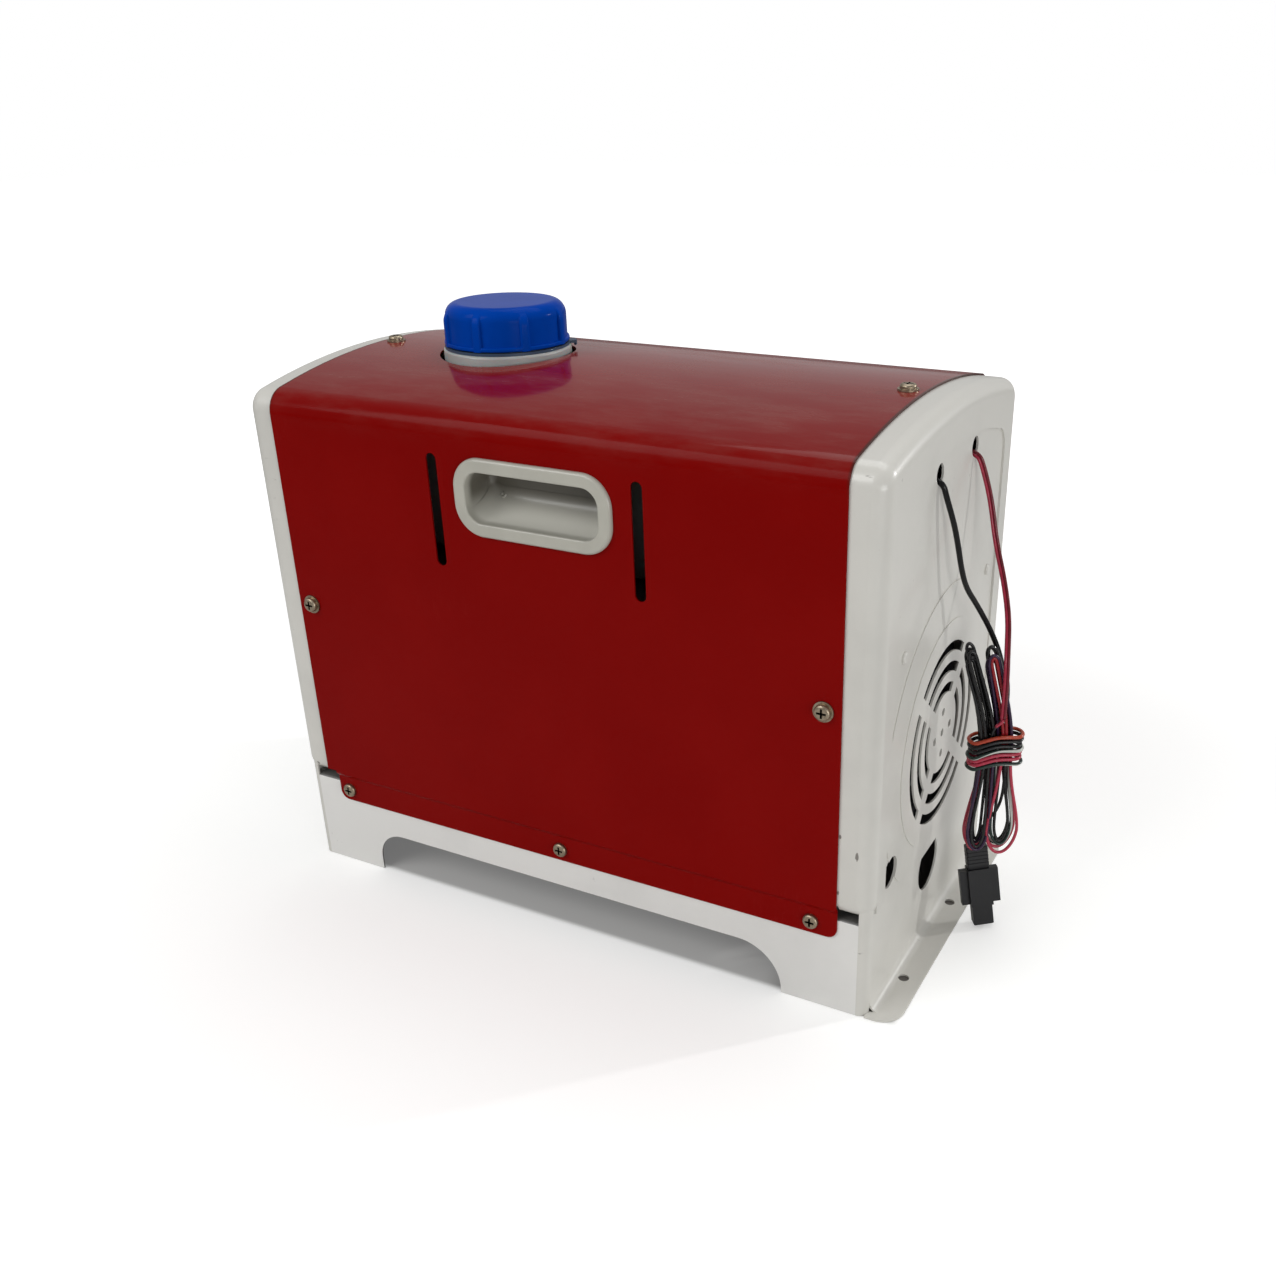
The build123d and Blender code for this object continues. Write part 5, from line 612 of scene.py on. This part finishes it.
# %% [markdown]
# ## Shader maths
# A finish is made of nodes, which could be placed and joined by hand in the shader editor.
# Here it is worked out the way a formula is, as that is easier to read again: a number that
# varies over the surface is a Signal, and adding, multiplying or comparing signals adds the
# Math nodes for it.

# %% Signals and finishes
class Signal:
    """A node's output. Python arithmetic on it adds Math nodes to its finish."""

    def __init__(self, finish, socket):
        self.finish, self.socket = finish, socket

    def maths(self, operation, *values):
        return self.finish.node("ShaderNodeMath", {"operation": operation},
                                dict(enumerate(values)))

    def __add__(self, other):
        return self.maths("ADD", self, other)

    def __sub__(self, other):
        return self.maths("SUBTRACT", self, other)

    def __rsub__(self, other):
        return self.maths("SUBTRACT", other, self)

    def __mul__(self, other):
        return self.maths("MULTIPLY", self, other)

    def __pow__(self, other):
        return self.maths("POWER", self, other)

    def __abs__(self):
        return self.maths("ABSOLUTE", self)

    def __gt__(self, other):
        return self.maths("GREATER_THAN", self, other)

    def __lt__(self, other):
        return self.maths("LESS_THAN", self, other)

    __radd__ = __add__
    __rmul__ = __mul__

    def wave(self):
        return self.maths("SINE", self)

    def least(self, other):
        return self.maths("MINIMUM", self, other)

    def ramp(self, low, high):
        """0 below low, 1 above high, and a smooth step between; low may be above high."""
        return self.finish.node("ShaderNodeMapRange", {"interpolation_type": "SMOOTHSTEP"},
                                {0: self, 1: low, 2: high, 3: 0.0, 4: 1.0})


class Finish:
    """One material: a Principled shader and the nodes that feed it."""

    def __init__(self, name, **fixed):
        self.material = bpy.data.materials.new(name)
        self.material.use_nodes = True
        self.tree = self.material.node_tree
        self.tree.nodes.clear()
        output = self.tree.nodes.new("ShaderNodeOutputMaterial")
        self.shader = self.tree.nodes.new("ShaderNodeBsdfPrincipled")
        self.tree.links.new(self.shader.outputs[0], output.inputs["Surface"])
        self.set(**fixed)

    def put(self, socket, value):
        if isinstance(value, Signal):
            self.tree.links.new(value.socket, socket)
        elif socket.type == "RGBA" and len(value) == 3:
            socket.default_value = (*value, 1.0)
        else:
            socket.default_value = value

    def node(self, kind, settings=None, sockets=None, out=0):
        made = self.tree.nodes.new(kind)
        for key, value in (settings or {}).items():
            setattr(made, key, value)
        for key, value in (sockets or {}).items():
            self.put(made.inputs[key], value)
        return Signal(self, made.outputs[out])

    def set(self, **values):
        for key, value in values.items():
            self.put(self.shader.inputs[key.replace("_", " ").title().replace("Ior", "IOR")],
                     value)

    def place(self, out="Object"):
        return self.node("ShaderNodeTexCoord", out=out)

    def axes(self, vector):
        split = self.tree.nodes.new("ShaderNodeSeparateXYZ")
        self.put(split.inputs[0], vector)
        return [Signal(self, socket) for socket in split.outputs]

    def stretch(self, vector, scale, at=(0.0, 0.0, 0.0), turn=(0.0, 0.0, 0.0)):
        return self.node("ShaderNodeMapping", None,
                         {"Vector": vector, "Location": at, "Rotation": turn, "Scale": scale})

    def noise(self, vector, scale, detail=3.0, rough=0.5):
        return self.node("ShaderNodeTexNoise", None,
                         {"Vector": vector, "Scale": scale, "Detail": detail,
                          "Roughness": rough})

    def blend(self, amount, first, second):
        return self.node("ShaderNodeMix", {"data_type": "RGBA"},
                         {0: amount, 6: first, 7: second}, out=2)

    def bump(self, height, distance, strength=1.0):
        normal = self.node("ShaderNodeBump", None,
                           {"Strength": strength, "Distance": distance, "Height": height})
        self.set(normal=normal)

    def over(self, amount, colour):
        """Blends a colour over the base colour that the finish has so far."""
        socket = self.shader.inputs["Base Color"].links[0].from_socket
        self.set(base_color=self.blend(amount, Signal(self, socket), colour))


def wear(piece_or_name, finish):
    """Puts one finish on a solid-model node or on a new piece."""
    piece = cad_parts[piece_or_name] if isinstance(piece_or_name, str) else piece_or_name
    piece.data.materials.clear()
    piece.data.materials.append(finish.material)


print("shader helpers ready")

# %% [markdown]
# ## Red sheet
# The cover is sheet steel with a deep red gloss paint. Paint that has cured on flat sheet is
# never quite flat, so a very faint, wide waviness bends the reflections. The waves could be
# modelled, but a bump leaves the sheet as flat as the solid model has it. The clear coat
# lies near the top only, a thin dust dulls the crown, a dark brown line runs along both upper
# ends of the sheet by the rims, and fine hair scratches catch the light.

# %% Red gloss paint
red_paint = Finish("red_gloss_paint", specular_ior_level=0.035, coat_roughness=0.07)
where = red_paint.place()
x, _, z = red_paint.axes(where)
mottle = red_paint.noise(where, 14.0, 4.0)
drift = red_paint.noise(red_paint.stretch(where, (18.0, 60.0, 60.0)), 1.0, 5.0, 0.65)
dust = z.ramp(0.300, 0.334) * drift.ramp(0.38, 0.75)
red = red_paint.blend(mottle.ramp(0.35, 0.7) * 0.5,
                      (0.200, 0.0016, 0.0012), (0.228, 0.0028, 0.0020))
red = red_paint.blend(dust * 0.16, red, (0.30, 0.20, 0.17))
# a dark brown line along both ends of the sheet, on its upper part, where it meets the rims
dark_end_line = abs(x).ramp(0.1808, 0.1824) * z.ramp(0.30, 0.325) * 0.8
red = red_paint.blend(dark_end_line, red, (0.030, 0.014, 0.010))
streaks = red_paint.stretch(where, (60.0, 60.0, 9.0), turn=(0.2, 0.5, 0.4))
hair = (abs(red_paint.noise(streaks, 6.0, 2.0) - 0.5) * 60.0).ramp(1.0, 0.0)
scratch = hair * red_paint.noise(where, 9.0, 2.0).ramp(0.62, 0.70)
red_paint.set(base_color=red_paint.blend(scratch * 0.08, red, (0.36, 0.05, 0.045)),
              roughness=0.15 + dust * 0.16 + mottle * 0.05,
              coat_weight=z.ramp(0.314, 0.331) * 0.42)
waves = red_paint.noise(where, 11.0, 1.0) * 0.25 + red_paint.noise(where, 260.0, 2.0) * 0.008
red_paint.bump(waves, 0.0012, 0.35)
wear("red_cover", red_paint)
print("red paint has", len(red_paint.tree.nodes), "nodes")

# %% [markdown]
# ## White powder coat
# The end panels and the base are baked with an off-white powder. It has a fine orange peel,
# a soft gloss, a little grime, and dark rub marks where the case has been knocked along its
# rims. Marks could be painted by hand, but a formula in space needs no unwrapping: each
# listed mark is a small frayed ellipsoid that colours what lies in it. The base wears a
# lighter copy of the coat as painted light, for the light that the floor throws up at it. The
# hollow of the base sees almost no light, so painted shade darkens its coat there.

# %% White powder coat
SCUFFS = [  # middle and half size of each rub mark, in metres
    ((0.1932, -0.1088, 0.1075), (0.0010, 0.002, 0.0030)),
    ((0.1832, -0.1088, 0.1173), (0.0008, 0.002, 0.0016)),
    ((0.1830, -0.1088, 0.0813), (0.0008, 0.002, 0.0014)),
    ((0.1952, -0.0960, 0.3268), (0.0025, 0.009, 0.0014)),
    ((0.1990, -0.0920, 0.3110), (0.0040, 0.002, 0.0022)),
    ((0.1975, -0.0800, 0.3220), (0.0008, 0.005, 0.0012)),
    ((0.1870, -0.0300, 0.3335), (0.0007, 0.012, 0.0012)),
    ((-0.1925, -0.1080, 0.0720), (0.0012, 0.002, 0.0014))]


RIM_INNER, RIM_OUTER = 0.186, 0.199  # the rims lie between these distances from the middle


def powder_coat(name, colour, grime):
    """Off-white gloss powder with orange peel, grime and small scuffs near edges."""
    coat = Finish(name, coat_weight=0.25, coat_roughness=0.12, specular_ior_level=0.5)
    where = coat.place()
    x, _, _ = coat.axes(where)
    cloud = coat.noise(where, 9.0, 5.0, 0.6)
    speck = (coat.noise(where, 240.0, 2.0).ramp(0.70, 0.76)
             * coat.noise(where, 21.0).ramp(0.52, 0.64))
    dull = tuple(value * 0.86 for value in colour)
    tone = coat.blend(cloud.ramp(0.42, 0.72) * grime, colour, dull)
    rub = coat.noise(coat.stretch(where, (46.0, 30.0, 150.0)), 1.0, 5.0, 0.7).ramp(0.66, 0.72)
    frayed = coat.noise(where, 700.0, 2.0) * 1.6
    scuffs = 0.0
    for place, size in SCUFFS:
        far = coat.stretch(where, tuple(1 / part for part in size),
                           tuple(-middle / part for middle, part in zip(place, size)))
        dx, dy, dz = coat.axes(far)
        scuffs = scuffs + (dx * dx + dy * dy + dz * dz + frayed).ramp(1.9, 1.3)
    edge = (abs(x) - RIM_INNER).ramp(0.0, 0.004) * (RIM_OUTER - abs(x)).ramp(0.0, 0.003)
    marks = (rub * edge * 0.5 + speck * 0.22 + scuffs * 0.8).least(1.0)
    coat.set(base_color=coat.blend(marks, tone, (0.10, 0.085, 0.07)),
             roughness=0.30 + cloud * 0.10 + marks * 0.3)
    coat.bump(coat.noise(where, 420.0, 2.0) * 0.06 + cloud * 0.12, 0.0011, 0.4)
    return coat


WHITE = (0.65, 0.637, 0.592)
panel_coat = powder_coat("white_powder_coat", WHITE, 0.7)
# painted light: the base wears a lighter copy of the panels' coat, for the light that the floor
# throws up at it
base_coat = powder_coat("white_powder_coat_base_painted_light", (0.77, 0.762, 0.736), 0.6)
for name in ("right_end_panel", "left_end_panel"):
    wear(name, panel_coat)
BASE_HALF, BASE_TOP = 0.1066, 0.0630
_, y, z = base_coat.axes(base_coat.place())
# painted shade: the hollow under the deck is darkened nearly to black in the coat's colour
painted_hollow_shade = (abs(y) < BASE_HALF) * (z < BASE_TOP)
base_coat.over(painted_hollow_shade * 0.9, (0.03, 0.029, 0.027))
wear("base_frame", base_coat)
print("powder coat has", len(panel_coat.tree.nodes), "nodes")

# %% [markdown]
# ## Plastics
# The handles, the cap, the tank and the casings are moulded. Each could have a material
# built by hand, but they share one build and differ in its numbers: a plain colour, a slow
# change of tone from the flow of the moulding, and a fine grain from the mould's skin. A
# hand pocket gets painted light and shade: its colour goes from a pale floor to a dark back
# as it goes up, since its back lies in deep shade.

# %% Moulded plastics
def moulding(name, colour, roughness, grain=0.02, tone=0.12, coat=0.0, scatter=0.0, shine=0.5):
    """A moulded plastic; tone is how much darker its slow clouds are."""
    plastic = Finish(name, coat_weight=coat, coat_roughness=0.08, specular_ior_level=shine,
                     subsurface_weight=scatter, subsurface_scale=0.004)
    where = plastic.place()
    cloud = plastic.noise(where, 26.0, 4.0, 0.6)
    dark = tuple(value * (1 - tone) for value in colour)
    plastic.set(base_color=plastic.blend(cloud.ramp(0.35, 0.7), colour, dark),
                roughness=roughness + cloud * 0.08)
    plastic.bump(plastic.noise(where, 700.0, 2.0) * grain + cloud * 0.05, 0.001, 0.4)
    return plastic


handle_plastic = moulding("warm_white_plastic", (0.47, 0.46, 0.40), 0.26, coat=0.1)
POCKET_MOUTH, SHADE_START, SHADE_END = 0.1105, 0.259, 0.279
_, y, z = handle_plastic.axes(handle_plastic.place())
# painted light and shade: the pocket's floor is painted pale and its back is painted dark
pocket = (POCKET_MOUTH - abs(y)).ramp(0.0, 0.006)
shade = z.ramp(SHADE_START, SHADE_END)
pocket_painted_light_and_shade = handle_plastic.blend(shade, (0.80, 0.79, 0.71), (0.12, 0.11, 0.088))
handle_plastic.over(pocket, pocket_painted_light_and_shade)
cap_plastic = moulding("blue_gloss_plastic", (0.0003, 0.050, 0.38), 0.12, shine=0.02)
ring_plastic = moulding("blue_ring_plastic", (0.045, 0.075, 0.125), 0.34, shine=0.25)
tank_plastic = moulding("milky_tank_plastic", (0.42, 0.43, 0.42), 0.34, scatter=0.25)
black_plastic = moulding("black_plastic", (0.018, 0.018, 0.020), 0.42)
connector_plastic = moulding("connector_plastic", (0.0075, 0.0075, 0.009), 0.40, shine=0.35)
rubber = moulding("black_rubber", (0.022, 0.022, 0.022), 0.62, grain=0.05)
filter_plastic = moulding("filter_plastic", (0.55, 0.58, 0.56), 0.15, coat=0.3)
fibre = moulding("gasket_fibre", (0.30, 0.28, 0.25), 0.8, grain=0.08)
board_green = moulding("board_coating", (0.012, 0.11, 0.045), 0.25, coat=0.3)
for finish, names in (
        (handle_plastic, "front_handle rear_handle"), (cap_plastic, "filler_cap"),
        (ring_plastic, "tamper_ring"), (tank_plastic, "fuel_tank"),
        (rubber, "cap_seal tank_pads pump_sleeve fuel_hoses"),
        (black_plastic, "lower_casing upper_casing outlet_hood intake_guard intake_impeller"),
        (black_plastic, "control_case"), (filter_plastic, "fuel_filter"),
        (fibre, "mount_gasket burner_gasket"), (board_green, "circuit_board"),
        (connector_plastic, "connector_plug connector_shroud")):
    for name in names.split():
        wear(name, finish)
wear(socket_block, connector_plastic)
for pocket_piece in pockets:
    wear(pocket_piece, handle_plastic)
print("plastics on", len(bpy.data.materials), "materials so far")

# %% [markdown]
# ## Metals
# Zinc-plated screws are a little yellow and stained; sheet parts are plainer. Cast aluminium
# is rough and grey, and the stainless parts have brown blotches. The cross recess of a screw
# gets painted shade: it could be a cut in its head, but at this size a near-black colour is
# enough, two bars through its middle, by formula. The spring gets its steel here, and a mesh
# of its own.

# %% Bare metals
def metal(name, colour, roughness, stain=(0.10, 0.07, 0.04), stained=0.3, grain=0.05, scale=60.0):
    """A bare metal with blotches of stain and a fine surface grain."""
    made = Finish(name, metallic=1.0)
    where = made.place()
    cloud = made.noise(where, scale, 5.0, 0.65)
    made.set(base_color=made.blend(cloud.ramp(0.45, 0.75) * stained, colour, stain),
             roughness=roughness + cloud * 0.18)
    made.bump(made.noise(where, 900.0, 3.0) * grain, 0.001, 0.5)
    return made


screw_zinc = metal("screw_zinc", (0.36, 0.30, 0.22), 0.30, stained=0.75, scale=420.0)


def cross(across, along):
    """1 in the arms of a cross recess; across and along are distances from its middle."""
    wide, narrow = 0.0027, 0.00062
    return (((across < wide) * (along < narrow)) + ((along < wide) * (across < narrow))).least(1.0)


SCREW_X, RIM_SCREW_Z, CREST_SCREW_Y = 0.1725, 0.1905, -0.004
BASE_SCREW_X, BASE_SCREW_Z = 0.167, 0.0575
x, y, z = screw_zinc.axes(screw_zinc.place())
column = abs(abs(x) - SCREW_X)
rims = cross(column, abs(z - RIM_SCREW_Z)) * (abs(y) > 0.105)
crest = cross(column, abs(y - CREST_SCREW_Y)) * (z > 0.33)
strip = cross(abs(x).least(abs(abs(x) - BASE_SCREW_X)), abs(z - BASE_SCREW_Z))
# painted shade: the cross recesses of the screw heads are coloured near black
screw_zinc.over((rims + crest + strip).least(1.0) * 0.94, (0.004, 0.003, 0.003))
sheet_zinc = metal("sheet_zinc", (0.55, 0.55, 0.54), 0.34, stained=0.15)
cast = metal("cast_aluminium", (0.48, 0.49, 0.50), 0.46, stained=0.25, grain=0.3)
stainless = metal("stainless_steel", (0.52, 0.50, 0.47), 0.30, stained=0.3)
iron = metal("dark_iron", (0.16, 0.155, 0.15), 0.45)
copper = metal("enamelled_copper", (0.62, 0.25, 0.11), 0.30, stained=0.2)
for finish, names in (
        (screw_zinc, "panel_screws cover_washers inner_screws mount_nuts housing_bolts"),
        (sheet_zinc, "tank_tray tank_straps pump_bracket pump_body motor_can"),
        (cast, "heat_exchanger blower_housing combustion_wheel"),
        (stainless, "exhaust_pipe burner_tube glow_plug fuel_pipe heat_sensor rotor_shaft"),
        (stainless, "shaft_bearings pump_plunger"),
        (iron, "motor_armature motor_magnets"), (copper, "pump_coil")):
    for name in names.split():
        wear(name, finish)
wear("tray_rivets", powder_coat("painted_rivets", WHITE, 0.5))
wear(spring, stainless)
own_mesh(spring)
print("metals done")

# %% [markdown]
# ## Wire sheaths
# The sheaths are soft glossy vinyl. Plain leads have one colour. The hank's colours come from
# the attribute that was stored on its rings. A stripe could be a thin strip of faces, but a
# white helix in the wire's own picture coordinates is simpler and stays sharp.

# %% Vinyl sheaths
def sheath(name, colour, shine=0.4):
    """Soft vinyl with slow clouds of a slightly darker tone."""
    vinyl = Finish(name, specular_ior_level=shine)
    where = vinyl.place()
    cloud = vinyl.noise(where, 150.0, 3.0)
    dark = tuple(value * 0.8 for value in colour)
    vinyl.set(base_color=vinyl.blend(cloud.ramp(0.4, 0.65), colour, dark),
              roughness=0.20 + cloud * 0.08)
    return vinyl


black_sheath = sheath("black_vinyl", (0.0040, 0.0040, 0.0045), shine=0.24)
crimson_sheath = sheath("crimson_vinyl", (0.36, 0.016, 0.045))
dark_red_sheath = sheath("dark_red_vinyl", (0.16, 0.008, 0.018))
wear("inner_leads", black_sheath)
for wire in (black_lead, *tails):
    wear(wire, black_sheath)
wear(pair[0], crimson_sheath)
wear(pair[1], dark_red_sheath)

striped = Finish("striped_vinyl", specular_ior_level=0.4)
tint = striped.node("ShaderNodeVertexColor", {"layer_name": "tint"})
stripe_on = striped.node("ShaderNodeVertexColor", {"layer_name": "tint"}, out=1)
u, v, _ = striped.axes(striped.place("UV"))
HELIX, ROUND = 60.0, 6.283  # radians along a metre of wire, and once round it
band = ((u * HELIX + v * ROUND).wave() - 0.2).ramp(0.0, 0.3)
grime = striped.noise(striped.place(), 170.0, 3.0).ramp(0.35, 0.7)
striped.set(base_color=striped.blend(band * stripe_on, tint, (0.55, 0.56, 0.52)),
            roughness=0.20 + grime * 0.10)
for wire in (left_wire, right_wire, tie_wire):
    wear(wire, striped)
print("sheaths done")

# %% [markdown]
# ## Light and ground
# The photograph shows the heater on plain white. A picture of a studio could light it, but
# lamps say more plainly where the light comes from: a wide key from the upper left in front,
# a fill low on the right, a small lamp behind on the right that draws the shadows of the
# leads on the end panel, and a soft light from above.

# %% Lamps
scene = bpy.context.scene
scene.view_settings.view_transform = "Standard"


def softbox(name, place, aim, width, height, power):
    """A rectangular area light at place that faces aim."""
    lamp = bpy.data.lights.new(name, "AREA")
    lamp.shape, lamp.size, lamp.size_y, lamp.energy = "RECTANGLE", width, height, power
    holder = bpy.data.objects.new(name, lamp)
    facing = (Vector(aim) - Vector(place)).to_track_quat("-Z", "Y").to_matrix().to_4x4()
    holder.matrix_world = Matrix.Translation(place) @ facing
    scene.collection.objects.link(holder)


CENTRE = (0.0, 0.0, 0.17)
softbox("key", (-0.9, -1.5, 1.5), CENTRE, 1.4, 1.0, 21.0)
softbox("fill", (1.5, -1.0, 0.30), (0.1, -0.1, 0.04), 1.0, 0.5, 9.0)
softbox("side", (1.55, 1.25, 0.80), (0.2, 0.0, 0.15), 0.06, 0.06, 10.5)
softbox("above", (0.1, 0.5, 1.9), CENTRE, 1.6, 1.0, 12.0)
print("lamps", len(bpy.data.lights))

# %% [markdown]
# The camera has to see white all round, but a world that bright would wash out every shadow.
# So the world asks what kind of ray looks at it: it is white for the camera and through
# clear things, partly white for reflections, and dim for all other rays.

# %% World
DIM, IN_MIRRORS = 0.26, 0.25
world = bpy.data.worlds.new("studio")
scene.world = world
world.use_nodes = True
tree = world.node_tree
tree.nodes.clear()
rays = tree.nodes.new("ShaderNodeLightPath")
seen = tree.nodes.new("ShaderNodeMath")
seen.operation = "MAXIMUM"
tree.links.new(rays.outputs["Is Camera Ray"], seen.inputs[0])
tree.links.new(rays.outputs["Is Transmission Ray"], seen.inputs[1])
mirrored = tree.nodes.new("ShaderNodeMath")
mirrored.operation = "MULTIPLY_ADD"
tree.links.new(rays.outputs["Is Glossy Ray"], mirrored.inputs[0])
mirrored.inputs[1].default_value = IN_MIRRORS
tree.links.new(seen.outputs[0], mirrored.inputs[2])
white, dim = [tree.nodes.new("ShaderNodeBackground") for _ in range(2)]
for backdrop in (white, dim):
    backdrop.inputs["Color"].default_value = (1.0, 1.0, 1.0, 1.0)
dim.inputs["Strength"].default_value = DIM
mix, output = tree.nodes.new("ShaderNodeMixShader"), tree.nodes.new("ShaderNodeOutputWorld")
tree.links.new(mirrored.outputs[0], mix.inputs[0])
tree.links.new(dim.outputs[0], mix.inputs[1])
tree.links.new(white.outputs[0], mix.inputs[2])
tree.links.new(mix.outputs[0], output.inputs["Surface"])
print("world has", len(tree.nodes), "nodes")

# %% [markdown]
# The heater stands on a table that looks as white as the world behind it. A shadow catcher
# would need a second picture to be laid over white, so the floor glows for the camera
# instead. Under the base it gets a painted shadow, strongest towards the intake end (+X):
# its colour and its glow are darkened there, where the case keeps the light out.

# %% Floor
FLOOR_HALF, FLOOR_Z = 6, -0.0002
UNDER_X, UNDER_LONG, UNDER_DEEP = 0.012, 0.204, 0.104
corners = [(i * FLOOR_HALF, j * FLOOR_HALF, FLOOR_Z)
           for i, j in ((-1, -1), (1, -1), (1, 1), (-1, 1))]
floor = mesh_piece("floor", corners, [(0, 1, 2, 3)], smooth=False)
ground = Finish("pale_floor", roughness=0.9, specular_ior_level=0.0)
camera_ray = ground.node("ShaderNodeLightPath")
east, north, _ = ground.axes(ground.place())
away = (east * east + north * north) ** 0.5
far = away.ramp(0.35, 1.2)
# painted shadow: under the base the floor's colour and glow are darkened, most towards +X
under = ((abs(east - UNDER_X) - UNDER_LONG).ramp(0.004, -0.004)
         * (abs(north) - UNDER_DEEP).ramp(0.003, -0.003))
painted_floor_shadow = under * (0.65 + 0.35 * east.ramp(0.13, 0.17))
glow = camera_ray * (far * 0.62 + 0.38) * (1.0 - painted_floor_shadow)
pale = ground.blend(far, (0.80, 0.80, 0.79), (0.42, 0.42, 0.42))
ground.set(base_color=ground.blend(painted_floor_shadow, pale, (0.16, 0.15, 0.14)),
           emission_color=ground.blend(glow, (0.0, 0.0, 0.0), (1.0, 1.0, 1.0)),
           emission_strength=1.0)
wear(floor, ground)
print("floor has", len(ground.tree.nodes), "nodes")
